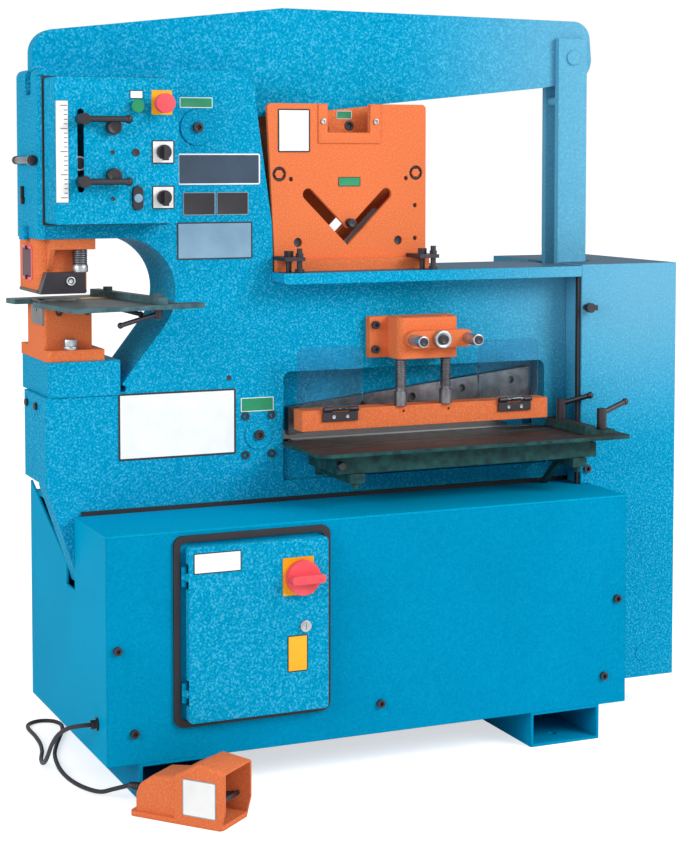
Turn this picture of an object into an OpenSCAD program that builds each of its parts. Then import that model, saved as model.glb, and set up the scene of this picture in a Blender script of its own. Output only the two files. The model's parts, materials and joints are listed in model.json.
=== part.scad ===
// Hydraulic ironworker: punch, angle shear and flat bar shear
// Origin on the floor at the middle of the base; X right, Y back, Z up; millimetres

/* [Base cabinet] */
// Width of the base cabinet
cab_w = 1192; // [1160:1:1240]
// Depth of the base cabinet
cab_d = 592; // [560:1:640]
// Height of the ledge above the floor
cab_top = 539; // [520:1:560]
// Sheet thickness of the cabinet and covers
sheet = 5; // [3:0.5:6]
// Thickness of the cabinet floor plate
floor_t = 10; // [6:1:16]
// Width of a fork tube
tube_w = 170; // [140:1:200]
// Height of a fork tube
tube_h = 76; // [60:1:90]
// Wall of a fork tube
tube_wall = 6; // [4:0.5:10]
// Distance of a fork tube's middle from the centre
tube_x = 444; // [400:1:480]
// Distance of an anchor hole from the centre, front to back
anchor_y = 240; // [180:1:270]
// Radius of an anchor hole
anchor_r = 9; // [6:0.5:12]

/* [Main frame] */
// Front face of the front side plate
plate_y = -64; // [-70:1:-58]
// Thickness of the front side plate
plate_t = 60; // [52:1:66]
// Thickness of the rear side plate
rear_t = 72; // [56:1:80]
// Gap between the side plates
slot_t = 44; // [43:0.5:48]
// Left face of the punch head
head_x = -664; // [-670:1:-660]
// Width of the ram housing
head_w = 152; // [146:1:158]
// Height of the head's top
head_top = 1467; // [1455:1:1475]
// Left face of the lower jaw
jaw_x = -647; // [-652:1:-640]
// Height of the lower jaw's top
jaw_z = 789; // [770:1:800]
// Middle of the throat's round end, left to right
throat_x = -487; // [-492:1:-480]
// Middle of the throat's round end, height
throat_z = 1001; // [995:1:1006]
// Radius of the throat's round end
throat_r = 115; // [108:1:120]
// Right end of the thick part of the side plates
frame_right = 538; // [532:1:540]
// Height of the deck
deck_top = 1038; // [1032:1:1042]
// Thickness of the deck plate
deck_t = 24; // [16:1:28]
// Front edge of the deck and of the right cover
deck_front = -138; // [-150:1:-128]
// Left end of the deck
deck_left = -155; // [-165:1:-150]

/* [Upper arm] */
// Upper pivot, left to right
p1_x = -322; // [-330:1:-316]
// Upper pivot, height
p1_z = 1347; // [1342:1:1352]
// Radius of the upper pivot pin
p1_r = 38; // [30:1:44]
// Thickness of both arms
arm_t = 40; // [36:0.5:41]
// Pin at the arm's right end, left to right
top_pin_x = 614; // [610:1:620]
// Pin at the arm's right end, height
top_pin_z = 1514; // [1508:1:1520]
// Radius of that pin
top_pin_r = 17; // [12:0.5:22]
// Swing of the upper arm to each side, degrees
arm_swing = 5.7; // [4:0.1:6]
// Height of the arm's peak
peak_z = 1608; // [1590:1:1625]
// Place of the arm's peak, left to right
peak_x = -103; // [-130:1:-80]

/* [Lower arm] */
// Lower pivot, left to right
p2_x = -186; // [-192:1:-180]
// Lower pivot, height
p2_z = 687; // [682:1:692]
// Radius of the lower pivot pin
p2_r = 31; // [24:1:36]
// Radius of the pin at the foot of the links
low_pin_r = 25; // [20:1:30]
// Width of a tie link
link_w = 75; // [60:1:80]
// Thickness of a tie link
link_t = 16; // [12:1:18]

/* [Hydraulic cylinder] */
// Outer radius of the barrel
barrel_r = 60; // [50:1:62]
// Wall of the barrel
barrel_wall = 8; // [5:0.5:12]
// Radius of the piston rod
rod_r = 30; // [20:1:36]
// Height of the pin under the barrel
barrel_pin_z = 150; // [140:1:160]

/* [Punch station] */
// Punch axis, left to right
punch_x = -600; // [-604:1:-596]
// Radius of the punch ram
ram_r = 32; // [28:1:36]
// Radius of the punch
punch_r = 11; // [6:0.5:14]
// Height of the die bolster
bolster_h = 73; // [60:1:80]
// Height of the die holder
holder_h = 112; // [100:1:118]
// Thickness of the punch table
ptable_t = 10; // [6:1:14]
// Turn of the punch table, degrees
ptable_turn = 9; // [6:0.5:12]
// Height of the stripper guard
strip_h = 107; // [98:1:110]

/* [Angle shear] */
// Left side of the angle shear plate
angle_left = -165; // [-170:1:-162]
// Right side of the angle shear plate
angle_right = 212; // [206:1:218]
// Height of the angle shear plate's top
angle_top = 1400; // [1390:1:1405]
// Front face of the angle shear plate
angle_y = -66; // [-70:1:-65]
// Thickness of the angle shear plate
angle_t = 10; // [8:1:14]
// Middle of the V slot, left to right
vee_x = 23; // [16:1:28]
// Height of the V slot's corner
vee_z = 1111; // [1106:1:1116]
// Length of a leg of the V slot
vee_leg = 131; // [122:1:136]
// Width of the V slot
vee_w = 26; // [20:1:30]

/* [Flat bar shear] */
// Left side of the shear opening
open_left = -128; // [-130:1:-120]
// Right side of the shear opening
open_right = 517; // [510:1:520]
// Top of the shear opening
open_top = 820; // [812:1:826]
// Height of the shear table's top
table_top = 669; // [665:1:671]
// Thickness of the shear table
table_t = 8; // [6:1:14]
// Front edge of the shear table
table_front = -282; // [-292:1:-272]
// Thickness of the flat blades
blade_t = 22; // [18:1:24]
// Height of the hold-down bar
hold_h = 45; // [35:1:48]
// Underside of the hold-down bar
hold_z = 695; // [693:1:700]
// Middle of the hold-down rods, left to right
hold_x = 184; // [176:1:190]
// Distance between the hold-down rods
rod_gap = 110; // [104:1:116]
// Outer radius of a hold-down rod
hrod_r = 12.5; // [11:0.5:13]
// Spacing of the ribs on the hold-down rods
rib_pitch = 5.2; // [4.8:0.1:5.4]
// Teeth of the hold-down pinion
pin_teeth = 30; // [28:1:30]

/* [Control box] */
// Left side of the control box
ctl_left = -653; // [-656:1:-648]
// Right side of the control box
ctl_right = -392; // [-400:1:-386]
// Bottom of the control box
ctl_bottom = 1149; // [1140:1:1155]
// Top of the control box
ctl_top = 1446; // [1440:1:1452]
// Front face of the control box
ctl_front = -150; // [-160:1:-140]

/* [Right cover] */
// Right side of the cover
cover_right = 823; // [790:1:850]
// Back of the cover
cover_back = 290; // [270:1:296]
// Height of the cover's top
cover_top = 1041; // [1039:0.5:1046]

/* [Electrical door] */
// Left edge of the door
door_left = -433; // [-440:1:-428]
// Width of the door
door_w = 302; // [280:1:310]
// Bottom of the door
door_bottom = 152; // [146:1:160]
// Height of the door
door_h = 356; // [340:1:362]
// Depth of the door
door_t = 20; // [16:1:26]

/* [Foot switch] */
// Length of the foot switch
foot_l = 205; // [190:1:225]
// Width of the foot switch
foot_w = 105; // [96:1:112]
// Height of the foot switch's hood
foot_h = 122; // [110:1:130]
// Diameter of the foot switch cord
cord_d = 9; // [8:0.5:10]

/* [Hidden] */
$fn = 48;

// Paint and metal colours
blue = "#0A9CCB";
orange = "#FF7F45";
steel = "#9AA0A6";
dark = "#1F1C26";
table_grey = "#44605F";
red = "#E8444F";

// Clearance of pins and of moving faces
run = 0.05;
gap = 0.5;
cut = 1;

// Places along Y
plate_back = plate_y + plate_t + slot_t + rear_t;
mid_y = plate_y + plate_t + slot_t / 2;
inner_front = plate_y + plate_t;
inner_back = inner_front + slot_t;
arm_front = mid_y - arm_t / 2;
arm_back = mid_y + arm_t / 2;
cab_front = -cab_d / 2;
cab_back = cab_d / 2;
cab_side = cab_w / 2;
floor_top = tube_h + floor_t;

// Heights and edges of the frame
head_bottom = throat_z + throat_r;
head_right = head_x + head_w;
deck_under = deck_top - deck_t;
jaw_face = jaw_x - 7;
frame_left_low = -480;
plate_right_edge = -151;
bolster_right = jaw_x + 152;
bolster_back = plate_back + 42;
holder_base = jaw_z + bolster_h;
holder_top = holder_base + holder_h;
ptable_top = holder_top + 1 + ptable_t;
taper = 38;
throat_tx = throat_x + throat_r * cos(taper);
throat_tz = throat_z - throat_r * sin(taper);
neck_z = jaw_z + 23;
neck_x = throat_tx - (throat_tz - neck_z) * tan(taper);

// Arms and links: the lower pin stays under the upper one
arm_ratio = (top_pin_x - p1_x) / (top_pin_x - p2_x);
low_pin_x = top_pin_x;
low_pin_z = p2_z + (top_pin_z - p1_z) / arm_ratio;
eye1_r = p1_r + 54;
eye2_r = p2_r + 41;
link_front = arm_front - 1.5 - link_t;
link_back = arm_back + 1.5;
link_left = top_pin_x - link_w / 2 - 1;
link_top = top_pin_z + 44;
ear_t = 17;
ear_front = link_front - 1.5 - ear_t;
ear_back = link_back + link_t + 1.5;
open_play = 1.4;
blade_slope = 6.18;

// Punch ram
ram_pin_z = p1_z - 27;
ram_pin_r = 14;
ram_low = head_bottom - 22;
strip_bottom = head_bottom - strip_h;
foot_under = strip_bottom - 6;

// Flat shear
bed_z = table_top - 63;
blade_gap = 0.3;
blade_up_y = arm_front - blade_t;
blade_back = blade_up_y - blade_gap;
blade_low_y = blade_back - blade_t;
blade_rise = 72;

// Hold-down gear
rack_r = hrod_r - 1.33;
pinion_r = pin_teeth * rib_pitch / (2 * PI);
rod_l_x = hold_x - rod_gap / 2;
rod_r_x = hold_x + rod_gap / 2;
rod_y = plate_y - 50;
pinion_x = rod_r_x - rack_r - pinion_r;
house_bottom = open_top + 25;
house_h = 90;
pinion_z = house_bottom + 43;
hold_front = plate_y - 54;
hold_d = 48;
hold_left = open_left + 22;
hold_right = open_right - 22;
hold_top = hold_z + hold_h;
guard_t = 6;
hinge_y = hold_front - 6.5;
hinge_z = hold_top + 1;

// Foot switch frame: rear near corner and turn
foot_x = -566;
foot_y = -372;
foot_turn = -50;
foot_base = 10;
foot_rear_h = 82;
hood_l = 112;

// Middle line of the cord, panel gland to foot switch
gland_y = -229;
gland_z = 147;
gland_tip = -cab_side - 16;
cord_z = cord_d / 2 + 0.3;
relief_l = 42;
relief_z = 40;
rear_cx = foot_x - sin(foot_turn) * foot_w / 2;
rear_cy = foot_y + cos(foot_turn) * foot_w / 2;
relief_x = rear_cx - cos(foot_turn) * relief_l;
relief_y = rear_cy - sin(foot_turn) * relief_l;
cord_route = [
    [gland_tip, gland_y, gland_z], [-630, -225, 146], [-650, -205, 138], [-662, -170, 116],
    [-665, -130, 84], [-663, -90, 50], [-659, -50, 25], [-654, -10, 11],
    [-645, 35, 6], [-630, 85, cord_z], [-620, 140, cord_z], [-616, 200, cord_z],
    [-616, 260, cord_z], [-606, 292, cord_z], [-579, 306, cord_z], [-552, 294, cord_z],
    [-541, 264, cord_z], [-548, 222, cord_z], [-568, 170, cord_z], [-590, 115, cord_z],
    [-610, 55, cord_z], [-622, -10, cord_z], [-627, -70, cord_z], [-624, -130, cord_z],
    [-612, -188, 6], [-594, -238, 11], [-575, -270, 24],
    [relief_x, relief_y, relief_z]];

// Outline drawn in X and Z, thick along Y from y0
module slab(y0, t) {
    translate([0, y0 + t, 0]) rotate([90, 0, 0]) linear_extrude(t) children();
}

// Outline drawn in Y and Z, thick along X from x0
module side_slab(x0, t) {
    translate([x0, 0, 0]) rotate([90, 0, 90]) linear_extrude(t) children();
}

// A box from its two corners
module block(a, b) {
    translate(a) cube(b - a);
}

// Round bars along Y, X and Z
module bar_y(x, z, r, y0, y1) {
    translate([x, y0, z]) rotate([-90, 0, 0]) cylinder(r = r, h = y1 - y0);
}
module bar_x(y, z, r, x0, x1) {
    translate([x0, y, z]) rotate([0, 90, 0]) cylinder(r = r, h = x1 - x0);
}
module bar_z(x, y, r, z0, z1) {
    translate([x, y, z0]) cylinder(r = r, h = z1 - z0);
}

// Rectangle from its corners with round corners
module round_rect(x0, z0, x1, z1, r) {
    wide = x1 - x0 > 2 * r + 0.01;
    tall = z1 - z0 > 2 * r + 0.01;
    if (wide) translate([x0 + r, z0]) square([x1 - x0 - 2 * r, z1 - z0]);
    if (tall) translate([x0, z0 + r]) square([x1 - x0, z1 - z0 - 2 * r]);
    for (x = wide ? [x0 + r, x1 - r] : [x0 + r], z = tall ? [z0 + r, z1 - r] : [z0 + r])
        translate([x, z]) circle(r);
}

// Cut that rounds a left front upright corner
module upright_round(x, y, r, z0, z1) {
    difference() {
        block([x - cut, y - cut, z0], [x + r, y + r, z1]);
        bar_z(x + r, y + r, r, z0 - cut, z1 + cut);
    }
}

// Socket head screw with its head towards the front
module screw_front(x, y, z, r, h) {
    difference() {
        bar_y(x, z, r, y - h, y);
        translate([x, y - h + r * 0.6, z]) rotate([90, 0, 0]) cylinder(r = r * 0.55, h = r, $fn = 6);
    }
}

// Hexagon bolt standing on a flat face
module hex_up(x, y, z, r, h) {
    translate([x, y, z]) cylinder(r = r, h = h, $fn = 6);
}

// Clamp lever on an upright stud, arm towards +X
module clamp_lever(hub_r, hub_h, arm_l, rise) {
    cylinder(r = hub_r, h = hub_h);
    translate([0, 0, hub_h - hub_r]) rotate([0, 90 - rise, 0]) cylinder(r = hub_r * 0.55, h = arm_l);
    translate([0, 0, hub_h - hub_r]) rotate([0, 90 - rise, 0]) translate([0, 0, arm_l])
        sphere(hub_r * 0.72);
}

module fork_tubes() color(blue) {
    for (s = [-1, 1]) difference() {
        block([s * tube_x - tube_w / 2, cab_front, 0], [s * tube_x + tube_w / 2, cab_back, tube_h]);
        block([s * tube_x - tube_w / 2 + tube_wall, cab_front - cut, tube_wall],
            [s * tube_x + tube_w / 2 - tube_wall, cab_back + cut, tube_h - tube_wall]);
        for (y = [-anchor_y, anchor_y]) bar_z(s * tube_x, y, anchor_r, -cut, tube_wall + cut);
    }
}

// Cylinder foot on the cabinet floor
foot_ear_t = 16;
eye_half = 23;
eye_pin_r = 20;
module cylinder_foot() {
    for (s = [-1, 1]) {
        y0 = s > 0 ? mid_y + eye_half + 1 : mid_y - eye_half - 1 - foot_ear_t;
        slab(y0, foot_ear_t) {
            translate([low_pin_x, barrel_pin_z]) circle(34);
            translate([low_pin_x - 34, floor_top - cut]) square([68, barrel_pin_z - floor_top + cut]);
        }
    }
    bar_y(low_pin_x, barrel_pin_z, eye_pin_r, mid_y - eye_half - 1 - foot_ear_t / 2,
        mid_y + eye_half + 1 + foot_ear_t / 2);
}

chute_low = 405;
chute_high = 553;
panel_y0 = cab_front + sheet;
well_half = 96;
module base_cabinet() color(blue) {
    // Floor plate, also under the right cover
    block([-cab_side, panel_y0, tube_h], [cab_side, cab_back, floor_top]);
    block([cab_side - cut, deck_front + sheet + 1, tube_h],
        [cover_right - sheet - 1, cover_back - sheet - 1, floor_top]);
    // Left panel with the notch for the slug chute
    difference() {
        side_slab(-cab_side, sheet) polygon([[panel_y0, tube_h], [cab_back, tube_h],
            [cab_back, chute_high + 7], [cab_back - 16, chute_high], [plate_y - 2, chute_low],
            [plate_y - 2, cab_top - cut], [panel_y0, cab_top - cut]]);
        block([-cab_side - cut, plate_y - 2, chute_low - 20],
            [-cab_side + sheet + cut, inner_front + 2, cab_top]);
        bar_x(gland_y, gland_z, 7, -cab_side - cut, -cab_side + sheet + cut);
    }
    // Right panel, open where the cylinder stands
    difference() {
        block([cab_side - sheet, panel_y0, tube_h], [cab_side, cab_back, cab_top]);
        block([cab_side - sheet - cut, mid_y - well_half, floor_top],
            [cab_side + cut, mid_y + well_half, cab_top + cut]);
    }
    // Back panel and the ledges before and behind the frame
    block([-cab_side, cab_back - sheet, tube_h], [cab_side, cab_back, cab_top]);
    block([-cab_side, cab_front, cab_top - sheet], [cab_side, plate_y - 6, cab_top]);
    block([-cab_side + sheet, plate_back + 1, cab_top - sheet], [cab_side, cab_back, cab_top]);
    // Flanges that the front panel is screwed to
    for (s = [-1, 1]) block([s * (cab_side - 16) - 16, panel_y0, tube_h],
        [s * (cab_side - 16) + 16, panel_y0 + sheet, cab_top - cut]);
    cylinder_foot();
}

seal_w = 14;
panel_screws = [[-574, 309], [-540, 139], [-2, 139], [573, 309], [540, 139]];
lug_z = [door_bottom + 60, door_bottom + door_h - 60];
hinge_ax = door_left - 4;
hinge_ay = cab_front - 9;
module front_panel() color(blue) {
    difference() {
        block([-cab_side, cab_front, tube_h], [cab_side, panel_y0, cab_top - sheet]);
        slab(cab_front - cut, sheet + 2 * cut)
            round_rect(door_left + 6, door_bottom + 8, door_left + door_w - 8, door_bottom + door_h - 8, 12);
    }
    // Hinge lugs with their pins
    for (z = lug_z) {
        for (s = [-1, 1]) {
            bar_z(hinge_ax, hinge_ay, 6, z + s * 14 - 6, z + s * 14 + 6);
            block([hinge_ax - 3, hinge_ay, z + s * 14 - 6],
                [hinge_ax + 3, cab_front + cut, z + s * 14 + 6]);
        }
        bar_z(hinge_ax, hinge_ay, 3, z - 20, z + 20);
    }
}

module rubber_seals() color(dark) {
    // Strip where the ledge meets the frame
    block([-cab_side + 16, plate_y - 6, cab_top - sheet], [frame_right + 30, plate_y, cab_top + 9]);
    // Ring behind the control box
    difference() {
        block([ctl_left - 4, plate_y - 6, ctl_bottom - 4], [ctl_right + 4, plate_y, ctl_top + 4]);
        block([ctl_left + 10, plate_y - 6 - cut, ctl_bottom + 10],
            [ctl_right - 10, plate_y + cut, ctl_top - 10]);
    }
    // Ring round the electrical door
    difference() {
        slab(cab_front - 6, 6) round_rect(door_left - 25, door_bottom - 12,
            door_left + door_w + 13, door_bottom + door_h + 21, 20);
        slab(cab_front - 6 - cut, 6 + 2 * cut)
            round_rect(door_left - 25 + seal_w, door_bottom - 12 + seal_w,
            door_left + door_w + 13 - seal_w, door_bottom + door_h + 21 - seal_w, 12);
    }
    // Strip along the right cover's front edge
    block([cover_left - 8, deck_front + sheet, cab_top + 1],
        [cover_left + sheet, deck_front + sheet + 10, deck_under - 1]);
}

// Round throat that runs out to the lower left
module throat_cut() {
    translate([throat_x, throat_z]) circle(throat_r);
    polygon([[head_x - 40, head_bottom], [throat_x, head_bottom], [throat_x, throat_z],
        [throat_tx, throat_tz], [neck_x, neck_z], [bolster_right, jaw_z], [head_x - 40, jaw_z]]);
    translate([bolster_right + 7, jaw_z + 12]) circle(7);
}

// Side plate outline; low_left is its lower left edge
module plate_outline(low_left) {
    difference() {
        union() {
            polygon(concat([[jaw_face, jaw_z + 300]], low_left, [[frame_left_low, chute_low - 10],
                [frame_left_low, floor_top], [frame_right, floor_top], [frame_right, deck_under],
                [plate_right_edge, deck_under], [plate_right_edge, deck_top], [-153, deck_top + 100],
                [-183, p1_z + 5], [-190, head_top - 62], [-240, head_top - 52], [-240, head_top],
                [head_right, head_top], [head_right, head_bottom], [jaw_face, head_bottom]]));
            translate([-240, head_top - 50]) circle(50);
        }
        throat_cut();
        translate([p1_x, p1_z]) circle(p1_r + run);
        translate([p2_x, p2_z]) circle(p2_r + run);
    }
}

module opening_outline(z0) {
    translate([open_left, z0]) square([open_right - open_left, open_top - z0 - 18]);
    round_rect(open_left, open_top - 60, open_right, open_top, 18);
}

skin_t = 18;
module front_side_plate() color(blue) {
    difference() {
        union() {
            slab(plate_y, plate_t) plate_outline([[jaw_face, 600], [-cab_side, 430],
                [-cab_side + 11, chute_low - 10]]);
            // Thin strip that closes the gap to the right cover
            block([frame_right - cut, plate_y, cab_top + 8],
                [frame_right + 62, plate_y + skin_t, deck_under]);
        }
        slab(plate_y - cut, plate_t + 2 * cut) opening_outline(table_top - 14);
        // Seat of the fixed blade behind the front lip
        block([open_left, blade_low_y - 0.2, bed_z], [open_right, inner_front + cut, table_top]);
        // Room for the upper blade at the top of its rise
        block([open_left, blade_up_y - gap, open_top - 20],
            [open_right, inner_front + cut, open_top + blade_rise]);
        // Shallow pocket below the table
        block([open_left, plate_y - cut, table_top - 86],
            [max(open_right, bracket_x[1] + bracket_half + cut), plate_y + 10, table_top - 10]);
    }
}

core_top = p1_z - eye1_r - 30;
core_right = p2_x - eye2_r - 12;
module rear_side_plate() color(blue) {
    low_left = [[jaw_face, 605], [-cab_side + 11, 605], [-cab_side + 11, chute_low - 10]];
    difference() {
        slab(inner_back, rear_t) plate_outline(low_left);
        slab(inner_back - cut, rear_t + 2 * cut) opening_outline(bed_z);
    }
    // Core between the plates
    difference() {
        slab(inner_front, slot_t + cut) difference() {
            polygon(concat([[jaw_face, jaw_z + 300]], low_left, [[frame_left_low, chute_low - 10],
                [frame_left_low, floor_top], [frame_right, floor_top], [frame_right, bed_z - 10],
                [core_right, bed_z - 10], [core_right, deck_under - 20],
                    [plate_right_edge, deck_under - 10],
                [plate_right_edge, deck_top], [-153, deck_top + 100], [-160, core_top],
                    [head_right, core_top], [head_right, head_bottom], [jaw_face, head_bottom]]));
            throat_cut();
        }
    }
}

ram_slot_z = p1_z - 107;
slot_drop = 54;
head_r = 16;
head_back = plate_back + 4;
module ram_housing() color(blue) {
    difference() {
        union() {
            block([head_x, plate_y, head_bottom], [head_right, head_back, head_top - head_r]);
            block([head_x + head_r, plate_y, head_bottom], [head_right, head_back, head_top]);
            bar_y(head_x + head_r, head_top - head_r, head_r, plate_y, head_back);
        }
        upright_round(head_x, plate_y, head_r, head_bottom - cut, head_top - head_r);
        // Slot for the arm and bore for the ram
        block([head_x + 12, inner_front, ram_slot_z], [head_right + cut, inner_back, head_top + cut]);
        block([head_x - cut, inner_front, head_top - slot_drop],
            [head_right + cut, inner_back, head_top + cut]);
        bar_z(punch_x, mid_y, ram_r + run, head_bottom - cut, p1_z + 38);
    }
}

slug_r = 22;
bolster_proud = 4;
bolster_r = 10;
module die_bolster() color(blue) {
    difference() {
        block([jaw_x, plate_y - bolster_proud, jaw_z], [bolster_right, bolster_back, holder_base]);
        upright_round(jaw_x, plate_y - bolster_proud, bolster_r, jaw_z - cut, holder_base + cut);
        bar_z(punch_x, mid_y, slug_r, jaw_z - cut, holder_base + cut);
    }
}

die_r = 35;
die_h = 40;
holder_x0 = jaw_x - 1;
holder_w = 103;
holder_y0 = plate_y + 34;
holder_y1 = plate_back - 12;
holder_foot = 24;
holder_r = 8;
key_half = 45;
key_t = 8;
module die_holder() color(orange) {
    difference() {
        union() {
            block([holder_x0, holder_y0, holder_base], [holder_x0 + holder_w, holder_y1, holder_top]);
            block([holder_x0, plate_y + 2, holder_base],
                [holder_x0 + holder_w + 18, bolster_back + 5, holder_base + holder_foot]);
        }
        upright_round(holder_x0, holder_y0, holder_r, holder_base + holder_foot, holder_top + cut);
        upright_round(holder_x0, plate_y + 2, holder_r, holder_base - cut, holder_base + holder_foot + cut);
        bar_z(punch_x, mid_y, slug_r, holder_base - cut, holder_top);
        bar_z(punch_x, mid_y, die_r + run, holder_top - die_h + ptable_t + 1, holder_top + cut);
        block([holder_x0 - cut, mid_y - key_half, holder_top - 38],
            [holder_x0 + key_t, mid_y + key_half, holder_top + cut]);
    }
}

module punch_die() color(steel) {
    difference() {
        bar_z(punch_x, mid_y, die_r, ptable_top - die_h, ptable_top);
        bar_z(punch_x, mid_y, punch_r + 0.6, ptable_top - 14, ptable_top + cut);
        bar_z(punch_x, mid_y, punch_r + 3, ptable_top - die_h - cut, ptable_top - 13);
    }
    // Slotted key plate on the left face
    difference() {
        block([holder_x0 - 2, mid_y - key_half, holder_top - 38],
            [holder_x0 + key_t, mid_y + key_half, ptable_top]);
        block([holder_x0 - 2 - cut, mid_y - 3, ptable_top - 22],
            [holder_x0 + key_t + cut, mid_y + 3, ptable_top + cut]);
    }
}

strip_x0 = head_x + 4;
strip_w = 104;
strip_y0 = plate_y + 32;
strip_y1 = plate_back + 2;
strip_r = 24;
flange_x0 = strip_x0 + 20;
window_y = mid_y + 32;
window_half = 36;
module stripper_guard() color(orange) {
    difference() {
        union() {
            block([strip_x0, strip_y0, strip_bottom], [strip_x0 + strip_w, strip_y1, head_bottom]);
            block([flange_x0, plate_y + 2, head_bottom - 22],
                [strip_x0 + strip_w + 11, strip_y1 + 2, head_bottom]);
            // Tapered rib at the left front corner
            side_slab(flange_x0, 10)
                polygon([[plate_y + 2, head_bottom - 21], [strip_y0 + cut, head_bottom - 21],
                [strip_y0 + cut, head_bottom - 70]]);
        }
        upright_round(strip_x0, strip_y0, strip_r, strip_bottom - cut, head_bottom + cut);
        block([strip_x0 + 12, strip_y0 + 12, strip_bottom - cut],
            [strip_x0 + strip_w - 7, strip_y1 - 12, head_bottom + cut]);
        side_slab(strip_x0 - cut, 14) round_rect(window_y - window_half, strip_bottom + 26,
            window_y + window_half, head_bottom - 22, 10);
    }
}

wedge_w = 94;
wedge_h = 38;
wedge_top = strip_bottom + wedge_h;
module stripper_foot() color(dark) {
    difference() {
        union() {
            block([strip_x0 - 2, strip_y0 - 1, foot_under], [strip_x0 + strip_w, strip_y1, strip_bottom]);
            slab(plate_y + 3, strip_y0 - plate_y - 3)
                polygon([[strip_x0 - 2, foot_under], [strip_x0 + wedge_w, foot_under],
                [strip_x0 + wedge_w, wedge_top], [strip_x0 + 12, wedge_top]]);
        }
        bar_z(punch_x, mid_y, punch_r + 3, foot_under - cut, strip_bottom + cut);
    }
}

module pivot_pins() color(steel) {
    for (p = [[p1_x, p1_z, p1_r], [p2_x, p2_z, p2_r]]) bar_y(p[0], p[1], p[2], plate_y - 3, plate_back + 3);
}

link_clear_left = link_left - 27;
module deck_plate() color(blue) {
    difference() {
        union() {
            block([deck_left + 12, deck_front, deck_under], [frame_right + 34, plate_y - 1, deck_top]);
            block([deck_left, deck_front, deck_under + 12], [deck_left + 13, plate_y - 1, deck_top]);
            bar_y(deck_left + 12, deck_under + 12, 12, deck_front, plate_y - 1);
            block([plate_right_edge + 2, plate_y - 2, deck_under],
                [frame_right + 34, plate_back, deck_top]);
        }
        block([link_clear_left, link_front - 4, deck_under - cut],
            [frame_right + 40, link_back + link_t + 4, deck_top + cut]);
    }
}

// V slot: two straight slots with round ends
module vee_outline(w) {
    for (turn = [45, 135]) translate([vee_x, vee_z]) rotate(turn) {
        translate([-w / 2, -w / 2]) square([vee_leg + w / 2, w]);
        translate([vee_leg, 0]) circle(w / 2);
    }
}

rail_h = 26;
rail_top = deck_top + rail_h;
rail_front = angle_y - 14;
angle_back = angle_y + angle_t;
angle_lean = 17;
angle_r = 10;
window_l = vee_x - 47;
window_r = vee_x + 52;
window_z = angle_top - 62;
house_left = plate_right_edge + 8;
house_t = 20;
house_y = arm_back + 6;
cheek_t = 22;
cheek_top = p1_z - 7;
bolt_sink = 7;
angle_bolts = [[angle_left + 28, 1248], [angle_right - 24, 1250]];
angle_holes = [[angle_left + 71, 1100, 10], [angle_right - 67, 1101, 10], [angle_right - 26, 1178, 5],
    [angle_right - 26, 1105, 5], [angle_left + 55, 1237, 5], [angle_right - 48, 1238, 5]];
module angle_shear_housing() color(orange) {
    difference() {
        union() {
            // Front plate with a leaning left edge
            slab(angle_y, angle_t) {
                polygon([[angle_left, angle_top - angle_r], [angle_left + angle_r, angle_top - angle_r],
                    [angle_left + angle_r, angle_top], [angle_right - angle_r, angle_top],
                    [angle_right - angle_r, angle_top - angle_r], [angle_right, angle_top - angle_r],
                    [angle_right, rail_top - cut], [angle_left + angle_lean, rail_top - cut]]);
                for (x = [angle_left + angle_r, angle_right - angle_r])
                    translate([x, angle_top - angle_r]) circle(angle_r);
            }
            block([angle_left + angle_lean, rail_front, deck_top], [angle_right + 3, angle_back, rail_top]);
            block([house_left, angle_back - cut, deck_top], [angle_right, house_y + house_t, rail_top]);
            // Rear plate and cheeks
            block([house_left, house_y, rail_top - cut], [angle_right, house_y + house_t, p1_z - 47]);
            block([house_left, angle_back - cut, rail_top - cut],
                [house_left + cheek_t, house_y + cut, cheek_top]);
            block([house_left, angle_back - cut, cheek_top - cut],
                [house_left + cheek_t, arm_front - 4, angle_top - 14]);
            block([angle_right - cheek_t, angle_back - cut, rail_top - cut],
                [angle_right, house_y + cut, p1_z - 117]);
        }
        slab(angle_y - cut, house_y + house_t - angle_y + 2 * cut) vee_outline(vee_w);
        block([window_l, angle_y - cut, window_z], [window_r, angle_back + cut, angle_top + cut]);
        // Sunk bolts with their hexagons
        for (p = angle_bolts) difference() {
            bar_y(p[0], p[1], 16, angle_y - cut, angle_y + bolt_sink);
            translate([p[0], angle_y + bolt_sink + cut, p[1]]) rotate([90, 0, 0])
                cylinder(r = 10, h = bolt_sink + cut, $fn = 6);
        }
        for (p = angle_holes) bar_y(p[0], p[1], p[2], angle_y - cut, angle_back - 2);
    }
}

blade_block_t = 24;
fix_back = arm_front - blade_block_t;
angle_depth = 40;
module fixed_blades() color(steel) {
    // Flat blade on its seat in the front plate
    block([open_left + 28, blade_low_y, bed_z], [open_right - 12, blade_back, table_top - 1]);
    // Two angle blades under the V slot
    slab(angle_back, fix_back - angle_back) difference() {
        translate([vee_x, vee_z - vee_w * 0.71]) rotate(45) union() {
            translate([-angle_depth, -angle_depth]) square([vee_leg + angle_depth - 20, angle_depth]);
            translate([-angle_depth, -angle_depth]) square([angle_depth, vee_leg + angle_depth - 20]);
        }
        translate([vee_x - 300, 0]) square([600, rail_top]);
        vee_outline(vee_w);
    }
}

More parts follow.
